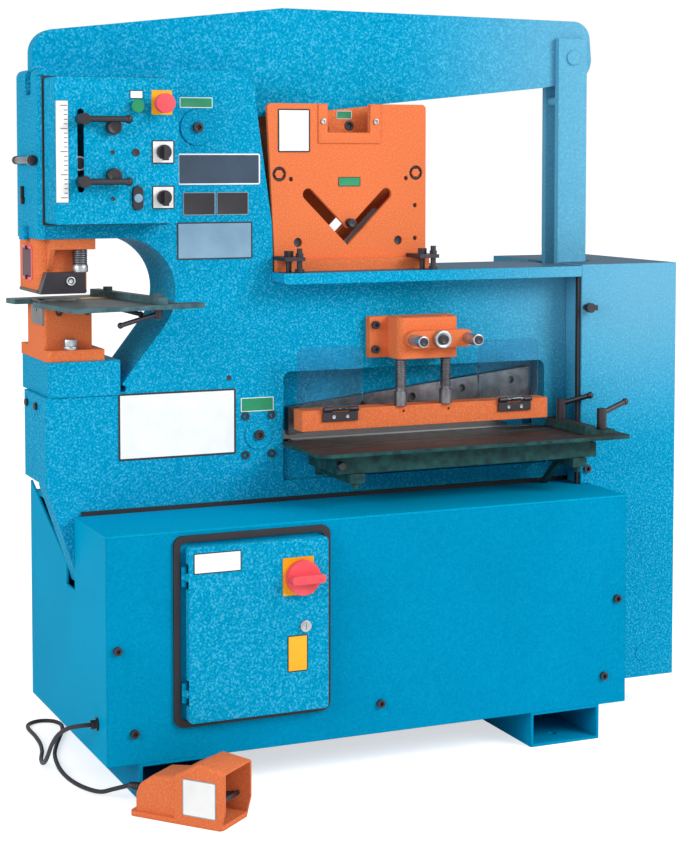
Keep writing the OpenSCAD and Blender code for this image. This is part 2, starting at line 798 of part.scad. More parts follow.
// Straps that hold the angle shear's rail down
strap_half = 23;
strap_t = 8;
strap_top = rail_top + strap_t;
module rail_clamps() {
    for (x = [angle_left + 36, angle_right - 24]) {
        block([x - strap_half, deck_front, rail_top], [x + strap_half, angle_y, strap_top]);
        bar_z(x, deck_front + 38, 6, deck_top, rail_top + 1);
        hex_up(x, deck_front + 38, strap_top, 11, 12);
        bar_z(x + 16, deck_front + 16, 6, deck_top, rail_top + 26);
        hex_up(x + 16, deck_front + 16, strap_top, 9, 8);
        hex_up(x + 16, deck_front + 16, deck_top, 11, 8);
    }
}

table_left = open_left - 6;
table_right = open_right + 100;
table_round = 32;
table_low = table_top - table_t;
table_back = plate_y - 1;
skirt_front = table_front + 42;
skirt_bottom = table_low - 42;
guide_slot_y = [-228, -118];
slot_x0 = 380;
slot_half = 6;
module shear_table() color(table_grey) {
    difference() {
        translate([0, 0, table_low]) linear_extrude(table_t)
            round_rect(table_left, table_front, table_right, table_back, 10);
        for (i = [0, 1]) translate([0, 0, table_low - cut]) linear_extrude(table_t + 2 * cut)
            round_rect(slot_x0, guide_slot_y[i] - slot_half, i == 0 ? table_right - 14 : cover_left - 14,
                guide_slot_y[i] + slot_half, slot_half);
        upright_round(table_left, table_front, table_round, table_low - cut, table_top + cut);
        // Corner cut out round the right cover
        block([cover_left - 10, deck_front - 5, table_low - cut],
            [table_right + cut, table_back + cut, table_top + cut]);
        for (y = [-196, -150])
            block([table_left - cut, y - 3, table_top - 2], [slot_x0, y + 3, table_top + cut]);
    }
    difference() {
        union() {
            block([table_left + 57, skirt_front, skirt_bottom],
                [table_right - 66, skirt_front + 8, table_low]);
            for (x = [table_left + 57, table_right - 74])
                block([x, skirt_front, skirt_bottom], [x + 8, table_back - 20, table_low]);
        }
        // Room for the guide's sliding washers
        for (p = [[guide_foot_x, guide_slot_y[0]], [guide_x, guide_slot_y[1]]])
            block([p[0] - 36, p[1] - washer_r - 2, table_low - washer_h - 2],
                [p[0] + 36, p[1] + washer_r + 2, table_low + cut]);
    }
}

bracket_x = [table_left + 101, table_right - 112];
bracket_half = 17;
bracket_h = 20;
bracket_low = skirt_bottom - bracket_h;
module table_brackets() color(table_grey) {
    for (x = bracket_x) {
        block([x - bracket_half, table_front + 34, bracket_low],
            [x + bracket_half, plate_y + 10, skirt_bottom]);
        block([x - bracket_half, plate_y, bracket_low - 8],
            [x + bracket_half, plate_y + 10, bracket_low + cut]);
        hex_up(x, table_front + 46, bracket_low - 12, 9, 12);
    }
    // Strut from the right bracket down to the ledge
    x = bracket_x[1];
    side_slab(x - 6, 12) polygon([[plate_y - 10, cab_top], [plate_y - 28, cab_top],
        [table_front + 116, bracket_low + cut], [table_front + 138, bracket_low + cut]]);
    // Rear shelf under the opening, with two gussets
    shelf = bed_z + 40;
    block([open_left - 20, plate_back, shelf - 6], [frame_right, cab_back - 10, shelf]);
    for (x = [open_left - 20, frame_right - 8]) side_slab(x, 8)
        polygon([[plate_back, bed_z - 60], [plate_back, shelf - 5], [cab_back - 40, shelf - 5]]);
}

shaft_r = 9;
house_front = rod_y - 30;
module hold_down_housing() color(orange) {
    difference() {
        union() {
            block([hold_x - 116, plate_y - 20, house_bottom],
                [hold_x + 84, plate_y, house_bottom + house_h]);
            translate([0, 0, house_bottom]) linear_extrude(house_h)
                round_rect(rod_l_x - 18, house_front, rod_r_x + 18, plate_y - 10, 16);
        }
        for (x = [rod_l_x, rod_r_x])
            bar_z(x, rod_y, hrod_r + run, house_bottom - cut, house_bottom + house_h + cut);
        bar_y(pinion_x, pinion_z, pinion_r + 3, rod_y - 12, rod_y + 12);
        bar_y(pinion_x, pinion_z, shaft_r + run, house_front - cut, rod_y + 28);
    }
}

cover_left = frame_right + 34;
module right_cover() color(blue) {
    difference() {
        union() {
            block([cover_left, deck_front, cab_top + 1], [cover_right, cover_back, cover_top]);
            block([cab_side + 1, deck_front, tube_h], [cover_right, cover_back, cab_top + 2]);
        }
        block([cover_left + sheet, deck_front + sheet, cab_top + 1 + sheet],
            [cover_right - sheet, cover_back - sheet, cover_top - 3]);
        block([cab_side - 6, deck_front + sheet, tube_h - cut],
            [cover_right - sheet, cover_back - sheet, cab_top + 20]);
        // Passage for the frame, the links and the lower arm
        block([cover_left - cut, plate_y - 2, cab_top - cut],
            [cover_left + sheet + cut, plate_back + 2, cover_top + cut]);
        block([cover_left - cut, link_front - 4, cover_top - 20],
            [link_left + link_w + 22, link_back + link_t + 4, cover_top + cut]);
        // Well for the cylinder
        block([cover_left - cut, mid_y - well_half, cab_top - cut],
            [cab_side + sheet, mid_y + well_half, cab_top + 20]);
        // Room for the cover's front seal strip
        block([cover_left - cut, deck_front + sheet, cab_top],
            [cover_left + sheet + cut, deck_front + sheet + 10, deck_under]);
        // Deck end
        block([cover_left - cut, deck_front - cut, deck_under - 0.5],
            [cover_left + 0.5, plate_y, deck_top + 0.5]);
    }
}

button_wall = 4;
start_at = [ctl_left + 171, ctl_bottom + 239];
stop_at = [ctl_left + 224, ctl_bottom + 245];
jog_at = [ctl_left + 172, ctl_bottom + 52];
select_at = [[ctl_left + 227, ctl_bottom + 146], [ctl_left + 227, ctl_bottom + 53]];
slot_at = ctl_left + 54;
slot_low = ctl_bottom + 64;
slot_high = ctl_top - 64;
module control_box() color(blue) {
    difference() {
        slab(ctl_front, plate_y - 6 - ctl_front) round_rect(ctl_left, ctl_bottom, ctl_right, ctl_top, 6);
        slab(ctl_front + button_wall, plate_y - ctl_front)
            round_rect(ctl_left + button_wall, ctl_bottom + button_wall,
            ctl_right - button_wall, ctl_top - button_wall, 3);
        slab(ctl_front - cut, button_wall + 2 * cut) {
            round_rect(slot_at - 7, slot_low, slot_at + 7, slot_high, 7);
            translate(start_at) circle(11);
            translate(stop_at) circle(9);
            for (p = select_at) translate(p) circle(9);
            round_rect(jog_at[0] - 11, jog_at[1] - 25, jog_at[0] + 11, jog_at[1] + 25, 11);
        }
    }
    // Round black knob plates beside the slot
    for (z = [ctl_bottom + 98, ctl_bottom + 196]) bar_y(ctl_left + 120, z, 14, ctl_front - 16, ctl_front);
}

knob_x = cover_left + 10;
knob_z = 944;
stud_x = strip_x0 + 86;
stud_y = plate_y + 17;
module cap_screws() color(dark) {
    for (p = panel_screws) screw_front(p[0], cab_front, p[1], 9, 7);
    for (p = [[p1_x, p1_z], [p2_x, p2_z]]) screw_front(p[0], plate_y - 3, p[1], 11, 7);
    for (x = [-30, 30], z = [-42, 42]) screw_front(p2_x + x, plate_y, p2_z + z, 9, 4);
    // Flange bolts of the hold-down housing
    for (z = [18, house_h - 18]) screw_front(hold_x - 103, plate_y - 20, house_bottom + z, 9, 8);
    // Screws under the punch table, bolt on the holder's foot
    for (x = [33, 93]) screw_front(holder_x0 + x, holder_y0, holder_top - 12, 7, 4);
    bar_z(holder_x0 + 52, plate_y + 18, 15, holder_base + holder_foot, holder_base + holder_foot + 7);
    hex_up(holder_x0 + 52, plate_y + 18, holder_base + holder_foot + 7, 13, 14);
    // Stud and nut between the stripper's flange and foot
    bar_z(stud_x, stud_y, 14, wedge_top, head_bottom - 22);
    hex_up(stud_x, stud_y, wedge_top, 16.8, 14);
    screw_front(strip_x0 + 62, plate_y + 3, strip_bottom + 20, 9, 4);
    // Wing knob and lower screw of the right cover
    bar_y(knob_x, knob_z, 7, deck_front - 16, deck_front);
    slab(deck_front - 26, 12) {
        translate([knob_x, knob_z]) circle(11);
        translate([knob_x, knob_z - 6]) square([17, 12]);
    }
    screw_front(cover_left + 16, deck_front, 574, 9, 6);
    rail_clamps();
}

tray_y = plate_y - 60;
tray_side = 14;
tray_rails = [90, 210, 320];
rail_half = 17;
relay_w = 44;
relay_pitch = 56;
module electrical_tray() color("#C9CCD2") {
    x0 = door_left + tray_side;
    x1 = door_left + door_w - tray_side;
    block([x0, tray_y, floor_top], [x1, tray_y + 4, cab_top - 30]);
    for (z = tray_rails) block([x0 + 16, tray_y - 8, floor_top + z - rail_half],
        [x1 - 16, tray_y, floor_top + z + rail_half]);
    for (i = [0:3]) block([x0 + 32 + i * relay_pitch, tray_y - 82, floor_top + 165],
        [x0 + 32 + i * relay_pitch + relay_w, tray_y - 8, floor_top + 255]);
    block([x0 + 46, tray_y - 96, floor_top + 285], [x0 + 136, tray_y - 8, floor_top + 355]);
    block([x0 + 36, tray_y - 60, floor_top + 60], [x1 - 36, tray_y - 8, floor_top + 120]);
}

tank_x0 = -60;
tank_w = 420;
tank_h = 230;
motor_r = 78;
module hydraulic_pack() color("#5B6168") {
    y0 = panel_y0 + 26;
    y1 = plate_y - 24;
    block([tank_x0, y0, floor_top], [tank_x0 + tank_w, y1, floor_top + tank_h]);
    // Motor and pump on the tank lid
    block([tank_x0 + 60, (y0 + y1) / 2 - 50, floor_top + tank_h - cut],
        [tank_x0 + 250, (y0 + y1) / 2 + 50, floor_top + tank_h + 12]);
    bar_x((y0 + y1) / 2, floor_top + tank_h + 8 + motor_r, motor_r, tank_x0 + 40, tank_x0 + 280);
    bar_x((y0 + y1) / 2, floor_top + tank_h + 8 + motor_r, 40, tank_x0 + 279, tank_x0 + 370);
    bar_z(tank_x0 + tank_w - 50, (y0 + y1) / 2, 26, floor_top + tank_h - cut, floor_top + tank_h + 24);
}

// Foot switch's own frame: X along it, Y across
module at_foot() {
    translate([foot_x, foot_y, 0]) rotate([0, 0, foot_turn]) children();
}

foot_wall = 5;
hood_x0 = foot_l - hood_l;
treadle_x = hood_x0 + 14;
treadle_z = foot_base + 16;
module foot_switch_housing() color(orange) at_foot() {
    difference() {
        union() {
            // Base with its rear lip
            linear_extrude(foot_base) round_rect(-10, 0, foot_l - 6, foot_w, 10);
            // Rear body with sloped top
            translate([0, foot_w - 10, 0]) rotate([90, 0, 0]) linear_extrude(foot_w - 20)
                polygon([[0, 0], [hood_x0 + 10, 0], [hood_x0 + 10, foot_rear_h + 8], [34, foot_rear_h],
                    [8, foot_rear_h - 18], [0, foot_rear_h - 40]]);
            // Hood over the treadle
            translate([0, foot_w, 0]) rotate([90, 0, 0]) linear_extrude(foot_w)
                polygon([[hood_x0, 0], [foot_l - 10, 0], [foot_l, 40], [foot_l, foot_h - 8],
                    [hood_x0 + 52, foot_h], [hood_x0, foot_rear_h + 14]]);
        }
        // Inside of the hood, open to the front
        translate([0, foot_w - foot_wall, 0]) rotate([90, 0, 0]) linear_extrude(foot_w - 2 * foot_wall)
            polygon([[hood_x0 + foot_wall, foot_base], [foot_l + 20, foot_base],
                [foot_l + 20, foot_h - 8 - foot_wall],
                [foot_l, foot_h - 8 - foot_wall], [hood_x0 + 52, foot_h - foot_wall],
                    [hood_x0 + foot_wall, foot_rear_h + 8]]);
    }
    // Pivot pin of the treadle
    translate([treadle_x, foot_wall - cut, treadle_z]) rotate([-90, 0, 0])
        cylinder(r = 3, h = foot_w - 2 * foot_wall + 2 * cut);
}

treadle_l = 78;
treadle_w = foot_w - 2 * foot_wall - 6;
module foot_treadle() color(dark) at_foot() {
    translate([treadle_x, foot_wall + 3 + treadle_w, treadle_z]) rotate([90, 0, 0])
        linear_extrude(treadle_w)
        difference() {
            circle(8);
            circle(3 + run);
        }
    // Ribbed plate, raised at its free end
    translate([treadle_x, foot_wall + 3, treadle_z]) rotate([0, -14, 0]) difference() {
        translate([6, 0, -2]) cube([treadle_l - 6, treadle_w, 8]);
        for (i = [1:6]) translate([i * 11, -cut, 4]) cube([4, treadle_w + 2 * cut, 4]);
    }
}

relief_ribs = 6;
module cord_fittings() color(dark) {
    // Gland on the left panel
    bar_x(gland_y, gland_z, 13, -cab_side - 5, -cab_side);
    translate([gland_tip, gland_y, gland_z]) rotate([0, 90, 0]) cylinder(r = 9.5, h = 12, $fn = 6);
    // Ribbed strain relief of the foot switch
    translate([rear_cx, rear_cy, relief_z]) rotate([0, 0, foot_turn]) rotate([0, -90, 0]) {
        cylinder(r = 7, h = relief_l);
        for (i = [0:relief_ribs - 1]) translate([0, 0, 2 + i * 6]) cylinder(r = 10 - i * 0.4, h = 3);
    }
}

// Smooth curve through the route's points
function spline_at(p, i, t) =
    let (n = len(p) - 1, a = p[max(i - 1, 0)], b = p[i], c = p[min(i + 1, n)], d = p[min(i + 2, n)])
    0.5 * (2 * b + (c - a) * t + (2 * a - 5 * b + 4 * c - d) * t * t + (3 * b - a - 3 * c + d) * t * t * t);
cord_steps = 2;
cord_sides = 8;
cord_path = [for (i = [0:len(cord_route) - 2], k = [0:cord_steps - 1])
    spline_at(cord_route, i, k / cord_steps),
    cord_route[len(cord_route) - 1]];
function unit(v) = v / norm(v);
// Direction of the path at each ring
function heading(p, i) = i == 0 ? [-1, 0, 0]
    : i == len(p) - 1 ? [cos(foot_turn), sin(foot_turn), 0]
    : unit(p[i + 1] - p[i - 1]);
function ring(p, i, r) =
    let (h = heading(p, i), side = unit(cross(h, [0, 0, 1])), up = cross(side, h))
    [for (k = [0:cord_sides - 1])
        p[i] + r * (cos(360 * k / cord_sides) * side + sin(360 * k / cord_sides) * up)];
module foot_switch_cord() color(dark) {
    n = len(cord_path);
    s = cord_sides;
    rings = [for (i = [0:n - 1]) each ring(cord_path, i, cord_d / 2)];
    walls = [for (i = [0:n - 2], k = [0:s - 1]) each [[i * s + k, i * s + (k + 1) % s, (i + 1) * s + k],
        [i * s + (k + 1) % s, (i + 1) * s + (k + 1) % s, (i + 1) * s + k]]];
    first = [for (k = [1:s - 2]) [0, k + 1, k]];
    last = [for (k = [1:s - 2]) [(n - 1) * s, (n - 1) * s + k, (n - 1) * s + k + 1]];
    polyhedron(points = rings, faces = concat(first, walls, last));
}

// Punch table in its own frame, origin at its front left corner
ptable_x = -638;
ptable_y = -230;
module at_ptable() {
    translate([ptable_x, ptable_y, holder_top + 1]) rotate([0, 0, ptable_turn]) children();
}
die_dx = punch_x - ptable_x;
die_dy = mid_y - ptable_y;
die_u = die_dx * cos(ptable_turn) + die_dy * sin(ptable_turn);
die_v = die_dy * cos(ptable_turn) - die_dx * sin(ptable_turn);
ptable_w = 296;
ptable_main = 250;
ptable_d = 352;
tongue_d = 40;
fence_at = 200;
fence_run = 34;
fence_slot_v = [29, 266];
key_room = 1.5;
spacer_d = mid_y - die_r - 2 - holder_y0 - 3;
module punch_table() color(table_grey) at_ptable() {
    difference() {
        linear_extrude(ptable_t) {
            round_rect(0, 0, ptable_main, ptable_d, 8);
            round_rect(0, 0, ptable_w, tongue_d, 8);
        }
        // Notch for the die and its key, open to the left
        translate([die_u, die_v, -cut]) cylinder(r = die_r + 2 * key_room, h = ptable_t + 2 * cut);
        rotate([0, 0, -ptable_turn])
            translate([holder_x0 - 60 - ptable_x, mid_y - key_half - key_room - ptable_y, -cut])
            cube([punch_x - holder_x0 + 60, 2 * (key_half + key_room), ptable_t + 2 * cut]);
        // Slots for the fence clamps
        for (v = fence_slot_v) translate([0, 0, -cut]) linear_extrude(ptable_t + 2 * cut)
            round_rect(fence_at - fence_run, v - 5, fence_at + fence_run, v + 5, 5);
    }
    // Spacer strip on the holder's top
    rotate([0, 0, -ptable_turn]) translate([holder_x0 + key_t + 6 - ptable_x, holder_y0 + 3 - ptable_y, -1])
        cube([holder_w - key_t - 12, spacer_d, 1 + cut]);
}

nose_r = 50;
nose_x = head_x + 5 + nose_r;
nose_z = p1_z + 153;
tail_r = 43;
tail_x = top_pin_x + 11;
tail_z = top_pin_z + 42;
heel_r = 56;
heel_x = top_pin_x + 2;
heel_z = top_pin_z - 2;
arm_left = head_x + 24;
lug_half = 80;
lug_low = p1_z - 17;
// Straight underside of the beam
under_l = [p1_x + 122, p1_z + 21];
under_r = [top_pin_x - 71, top_pin_z - 70];
function under_z(x) = under_l[1] + (x - under_l[0]) * (under_r[1] - under_l[1]) / (under_r[0] - under_l[0]);
module upper_arm() color(blue) difference() {
    union() {
        slab(arm_front, arm_t) polygon([[arm_left, p1_z - 57], [arm_left, p1_z + 98],
            [nose_x - nose_r, p1_z + 117], [nose_x - nose_r, nose_z], [nose_x, nose_z],
            [nose_x, nose_z + nose_r], [peak_x, peak_z], [tail_x, tail_z + tail_r], [tail_x, tail_z],
            [tail_x + tail_r, tail_z], [heel_x + heel_r, heel_z], [heel_x, heel_z], [heel_x, heel_z - heel_r],
            under_r, [vee_x + lug_half, under_z(vee_x + lug_half)], [vee_x + lug_half, lug_low],
            [vee_x - lug_half, lug_low], [vee_x - lug_half, under_z(vee_x - lug_half)], under_l,
            [p1_x + 60, p1_z], [p1_x, p1_z - 60], [arm_left + 80, p1_z - 68]]);
        bar_y(nose_x, nose_z, nose_r, arm_front, arm_back);
        bar_y(tail_x, tail_z, tail_r, arm_front, arm_back);
        bar_y(heel_x, heel_z, heel_r, arm_front, arm_back);
        bar_y(p1_x, p1_z, eye1_r, arm_front, arm_back);
    }
    bar_y(p1_x, p1_z, p1_r + run, arm_front - cut, arm_back + cut);
    bar_y(top_pin_x, top_pin_z, top_pin_r + run, arm_front - cut, arm_back + cut);
    slab(arm_front - cut, arm_t + 2 * cut) round_rect(punch_x - ram_pin_r - 7, ram_pin_z - ram_pin_r - 1,
        punch_x + ram_pin_r + 7, ram_pin_z + ram_pin_r + 1, ram_pin_r + 1);
}

tip_half = 92;
tip_h = 244;
// Moving angle blade, drawn closed and turned back
module angle_blade_block() {
    color(orange) translate([p1_x, 0, p1_z]) rotate([0, -arm_swing, 0]) translate([-p1_x, 0, -p1_z])
        difference() {
            slab(fix_back + gap, blade_block_t - gap) polygon([[vee_x, vee_z - 6],
                [vee_x + tip_half, vee_z - 6 + tip_half], [vee_x + tip_half, vee_z + tip_h],
                [vee_x - tip_half, vee_z + tip_h], [vee_x - tip_half, vee_z - 6 + tip_half]]);
            for (x = [-40, 20]) bar_y(vee_x + x, vee_z + tip_h - 38, 11, fix_back, fix_back + 12);
        }
}

module tie_links() color(blue) {
    for (y = [link_front, link_back]) slab(y, link_t) {
        translate([link_left, low_pin_z]) square([link_w, link_top - low_pin_z]);
        translate([low_pin_x - 1, low_pin_z]) circle(link_w / 2);
    }
    bar_y(top_pin_x - 24, top_pin_z - 100, 11, link_front + 1, link_back + link_t - 1);
    bar_y(top_pin_x, top_pin_z, top_pin_r, link_front - 4, link_back + link_t + 4);
    bar_y(low_pin_x, low_pin_z, low_pin_r, ear_front + 1, ear_back + ear_t - 1);
}

low_edge_drop = 74;
eye3_r = 56;
shoulder = 54;
module lower_arm() color(blue) difference() {
    union() {
        bar_y(p2_x, p2_z, eye2_r, arm_front, arm_back);
        bar_y(low_pin_x, low_pin_z, eye3_r, arm_front, arm_back);
        slab(arm_front, arm_t) polygon([[p2_x - 50, p2_z + 10], [p2_x - 46, deck_under - 84],
            [p2_x + 40, deck_under - 32], [low_pin_x - shoulder, low_pin_z + 62],
            [low_pin_x - 5, low_pin_z + 42], [low_pin_x, low_pin_z - 40],
            [low_pin_x - shoulder, low_pin_z - low_edge_drop], [p2_x + 58, p2_z - 6], [p2_x, p2_z - 45]]);
    }
    bar_y(p2_x, p2_z, p2_r + run, arm_front - cut, arm_back + cut);
    bar_y(low_pin_x, low_pin_z, low_pin_r + open_play, arm_front - cut, arm_back + cut);
}

blade_h = 62;
module upper_blade() color(steel) {
    x0 = open_left + 28;
    x1 = open_right - 17;
    difference() {
        slab(blade_up_y, blade_t)
            polygon([[x0, table_top + 6], [x1, table_top + 6 + (x1 - x0) * tan(blade_slope)],
            [x1, table_top + 6 + blade_h + (x1 - x0) * tan(blade_slope)], [x0, table_top + 6 + blade_h]]);
        for (i = [0:4]) bar_y(x0 + 50 + i * 125, table_top + 44 + (50 + i * 125) * tan(blade_slope), 9,
            blade_up_y - cut, blade_up_y + 10);
    }
}

barrel_top = low_pin_z - 210;
barrel_low = barrel_pin_z + 45;
module cylinder_barrel() color("#3A3F46") {
    difference() {
        union() {
            bar_z(low_pin_x, mid_y, barrel_r, barrel_low, barrel_top);
            bar_y(low_pin_x, barrel_pin_z, 34, mid_y - eye_half, mid_y + eye_half);
            block([low_pin_x - 30, mid_y - eye_half, barrel_pin_z],
                [low_pin_x + 30, mid_y + eye_half, barrel_low + cut]);
        }
        bar_z(low_pin_x, mid_y, barrel_r - barrel_wall, barrel_low + 18, barrel_top - 30);
        bar_z(low_pin_x, mid_y, rod_r + run, barrel_low + 30, barrel_top + cut);
        bar_y(low_pin_x, barrel_pin_z, eye_pin_r + run, mid_y - eye_half - cut, mid_y + eye_half + cut);
    }
}

clevis_z = low_pin_z - 102;
piston_z = barrel_low + 140;
eye_slot = 7;
module cylinder_rod() color(steel) {
    bar_z(low_pin_x, mid_y, rod_r, piston_z, clevis_z + cut);
    bar_z(low_pin_x, mid_y, barrel_r - barrel_wall - run, piston_z, piston_z + 40);
    block([low_pin_x - 40, ear_front, clevis_z], [low_pin_x + 40, ear_back + ear_t, clevis_z + 24]);
    for (y = [ear_front, ear_back]) slab(y, ear_t) difference() {
        union() {
            translate([low_pin_x - 40, clevis_z + 23]) square([80, low_pin_z - clevis_z - 23]);
            translate([low_pin_x, low_pin_z]) circle(40);
        }
        round_rect(low_pin_x - low_pin_r - eye_slot, low_pin_z - low_pin_r - open_play,
            low_pin_x + low_pin_r + eye_slot, low_pin_z + low_pin_r + open_play, low_pin_r + open_play);
    }
}

module punch_ram() color(steel) {
    difference() {
        bar_z(punch_x, mid_y, ram_r, ram_low, p1_z - 2);
        block([punch_x - ram_r - cut, arm_front - gap, ram_pin_z - 48],
            [punch_x + ram_r + cut, arm_back + gap, p1_z]);
    }
    bar_y(punch_x, ram_pin_z, ram_pin_r, mid_y - 27, mid_y + 27);
}

module punch() color("#6D6A66") {
    difference() {
        bar_z(punch_x, mid_y, 31, ram_low - 42, ram_low);
        for (a = [0:60:300]) bar_z(punch_x + 33 * cos(a), mid_y + 33 * sin(a), 6, ram_low - 43, ram_low - 8);
    }
    bar_z(punch_x, mid_y, punch_r, foot_under + 6, ram_low - 41);
    bar_z(punch_x, mid_y, punch_r + 5, ram_low - 50, ram_low - 41);
}

module hold_down_bar() color(orange) {
    difference() {
        block([hold_left, hold_front, hold_z], [hold_right, hold_front + hold_d, hold_top]);
        for (x = [rod_l_x, rod_r_x]) bar_y(x + 6, hold_top - 12, 3, hold_front - cut, hold_front + 10);
    }
}

// Ribbed rod: a core with rings for the pinion's teeth
rib_depth = 2.6;
rib_count = floor((house_bottom + house_h - 10 - hold_top - 40) / rib_pitch);
rib_z0 = pinion_z - rib_pitch * round((pinion_z - hold_top - 40) / rib_pitch);
module ribbed_rod(x) {
    bar_z(x, rod_y, hrod_r - rib_depth, hold_top + 30, rib_z0 + rib_count * rib_pitch);
    bar_z(x, rod_y, hrod_r + 1.5, hold_top, hold_top + 32);
    for (i = [0:rib_count - 1]) translate([x, rod_y, rib_z0 + (i + 0.5) * rib_pitch]) rotate_extrude()
        polygon([[hrod_r - rib_depth - 1, -rib_pitch * 0.36], [hrod_r - rib_depth, -rib_pitch * 0.36],
            [hrod_r, -rib_pitch * 0.14],
            [hrod_r, rib_pitch * 0.14], [hrod_r - rib_depth, rib_pitch * 0.36],
                [hrod_r - rib_depth - 1, rib_pitch * 0.36]]);
}
module hold_down_rods() color(steel) {
    for (x = [rod_l_x, rod_r_x]) ribbed_rod(x);
}

// Pinion with straight teeth, one towards the rack rod
tooth_top = 1.1;
tooth_low = 1.6;
module pinion_outline() {
    circle(pinion_r - tooth_low, $fn = 90);
    for (i = [0:pin_teeth - 1]) rotate(i * 360 / pin_teeth)
        polygon([[pinion_r - tooth_low - 1, -rib_pitch * 0.27],
        [pinion_r - tooth_low, -rib_pitch * 0.27], [pinion_r + tooth_top, -rib_pitch * 0.1],
            [pinion_r + tooth_top, rib_pitch * 0.1],
        [pinion_r - tooth_low, rib_pitch * 0.27], [pinion_r - tooth_low - 1, rib_pitch * 0.27]]);
}

handle_y = house_front - 18;
handle_half = 80;
module hold_down_handle() color(orange) {
    slab(rod_y - 10, 20) translate([pinion_x, pinion_z]) pinion_outline();
    bar_y(pinion_x, pinion_z, shaft_r, handle_y, rod_y + 26);
    slab(handle_y, 17) round_rect(pinion_x - handle_half, pinion_z - 19, pinion_x + handle_half,
        pinion_z + 19, 18);
    bar_y(pinion_x, pinion_z, 19, handle_y - 14, handle_y + 1);
    for (s = [-1, 1]) bar_y(pinion_x + s * (handle_half - 14), pinion_z, 12, handle_y - 52, handle_y + 1);
}

guard_h = 136;
guard_left_x = [hold_left - 11, hold_left + 140];
guard_right_x = [hold_right - 178, hold_right - 27];
leaf_half = 41;
knuckle_r = 5.5;
hinge_pin_r = 2.5;
left_leaf = hold_left + 88;
right_leaf = hold_right - 86;
module guard_plate(x0, x1, leaf) {
    slab(hinge_y + 1, guard_t) round_rect(x0, hinge_z + 8, x1, hinge_z + guard_h, 14);
    difference() {
        union() {
            bar_x(hinge_y, hinge_z, knuckle_r, leaf - 20, leaf + 20);
            block([leaf - 20, hinge_y - 3, hinge_z], [leaf + 20, hinge_y + 1, hinge_z + 10]);
            block([leaf - leaf_half, hinge_y - 3, hinge_z + 9],
                [leaf + leaf_half, hinge_y + 1, hinge_z + 22]);
        }
        bar_x(hinge_y, hinge_z, hinge_pin_r + run, leaf - 21, leaf + 21);
    }
}
module left_guard() color("#C9D4DA", 0.5) guard_plate(guard_left_x[0], guard_left_x[1], left_leaf);
module right_guard() color("#C9D4DA", 0.5) guard_plate(guard_right_x[0], guard_right_x[1], right_leaf);

module guard_hinges() color(dark) {
    for (leaf = [left_leaf, right_leaf]) {
        block([leaf - leaf_half, hold_front - 5, hinge_z - 26],
            [leaf + leaf_half, hold_front, hinge_z - 8]);
        for (s = [-1, 1]) {
            x = leaf + s * (leaf_half / 2 + 10.3);
            bar_x(hinge_y, hinge_z, knuckle_r, x - 10, x + 10);
            block([x - 10, hold_front - 5, hinge_z - 9], [x + 10, hold_front - 1, hinge_z]);
        }
        bar_x(hinge_y, hinge_z, hinge_pin_r, leaf - leaf_half, leaf + leaf_half);
    }
}

fence_t = 14;
module punch_fence() color(table_grey) at_ptable() {
    translate([fence_at - 11, 6, ptable_t]) cube([22, ptable_d - 26, fence_t]);
    for (v = fence_slot_v) translate([fence_at, v, -20]) {
        cylinder(r = 4.5, h = 30 + fence_t);
        translate([0, 0, 20 + ptable_t + fence_t - cut]) cylinder(r = 10, h = 9);
        translate([0, 0, -2]) cylinder(r = 6, h = 2);
    }
}

// Clamp lever under the punch table
module fence_lever(v, turn, arm_l) {
    at_ptable() translate([fence_at, v, -1]) rotate([180, 0, turn]) difference() {
        clamp_lever(9, 18, arm_l, 14);
        translate([0, 0, -cut]) cylinder(r = 4.5 + run, h = 40);
    }
}
module fence_lever_front() color(dark) fence_lever(fence_slot_v[0], 178, 86);
module fence_lever_rear() color(dark) fence_lever(fence_slot_v[1], -33, 72);

guide_x = 532;
guide_h = 20;
washer_r = 11;
washer_h = 8;
guide_foot_x = guide_x + 40;
stud_r = 5;
module side_guide() color(table_grey) {
    block([guide_x - 13, guide_slot_y[0] - 18, table_top + 0.3],
        [guide_x + 13, table_back - 8, table_top + guide_h]);
    block([guide_x + 12, guide_slot_y[0] - 18, table_top + 0.3],
        [guide_foot_x + 24, guide_slot_y[0] + 20, table_top + 9]);
    for (p = [[guide_foot_x, guide_slot_y[0], 9], [guide_x, guide_slot_y[1], guide_h]]) {
        bar_z(p[0], p[1], stud_r, table_low - washer_h, table_top + p[2] + 44);
        bar_z(p[0], p[1], washer_r, table_low - washer_h, table_low - 0.3);
    }
}

module guide_lever(x, y, z, turn) {
    translate([x, y, z]) rotate([0, 0, turn]) difference() {
        clamp_lever(11, 46, 70, 18);
        translate([0, 0, -cut]) cylinder(r = stud_r + run, h = 60);
    }
}
module guide_lever_front() color(dark) guide_lever(guide_foot_x, guide_slot_y[0], table_top + 9.3, 8);
module guide_lever_rear() color(dark) guide_lever(guide_x, guide_slot_y[1], table_top + guide_h + 0.3, -45);

module start_button() color("#008A5A") {
    bar_y(start_at[0], start_at[1], 13.5, ctl_front - 12, ctl_front - 7);
    bar_y(start_at[0], start_at[1], 11 - run, ctl_front - 8, ctl_front + 20);
}

module stop_button() color(red) {
    bar_y(stop_at[0], stop_at[1], 20, ctl_front - 32, ctl_front - 16);
    bar_y(stop_at[0], stop_at[1], 9 - run, ctl_front - 17, ctl_front + 20);
}

module jog_button() color(dark) {
    slab(ctl_front - 7, 11)
        round_rect(jog_at[0] - 10.5, jog_at[1] - 24.5, jog_at[0] + 10.5, jog_at[1] + 24.5, 10.5);
    slab(ctl_front + button_wall + 4, 6)
        round_rect(jog_at[0] - 14, jog_at[1] - 24.5, jog_at[0] + 14, jog_at[1] + 24.5, 10.5);
    bar_y(jog_at[0], jog_at[1], 8, ctl_front + 3, ctl_front + 20);
}

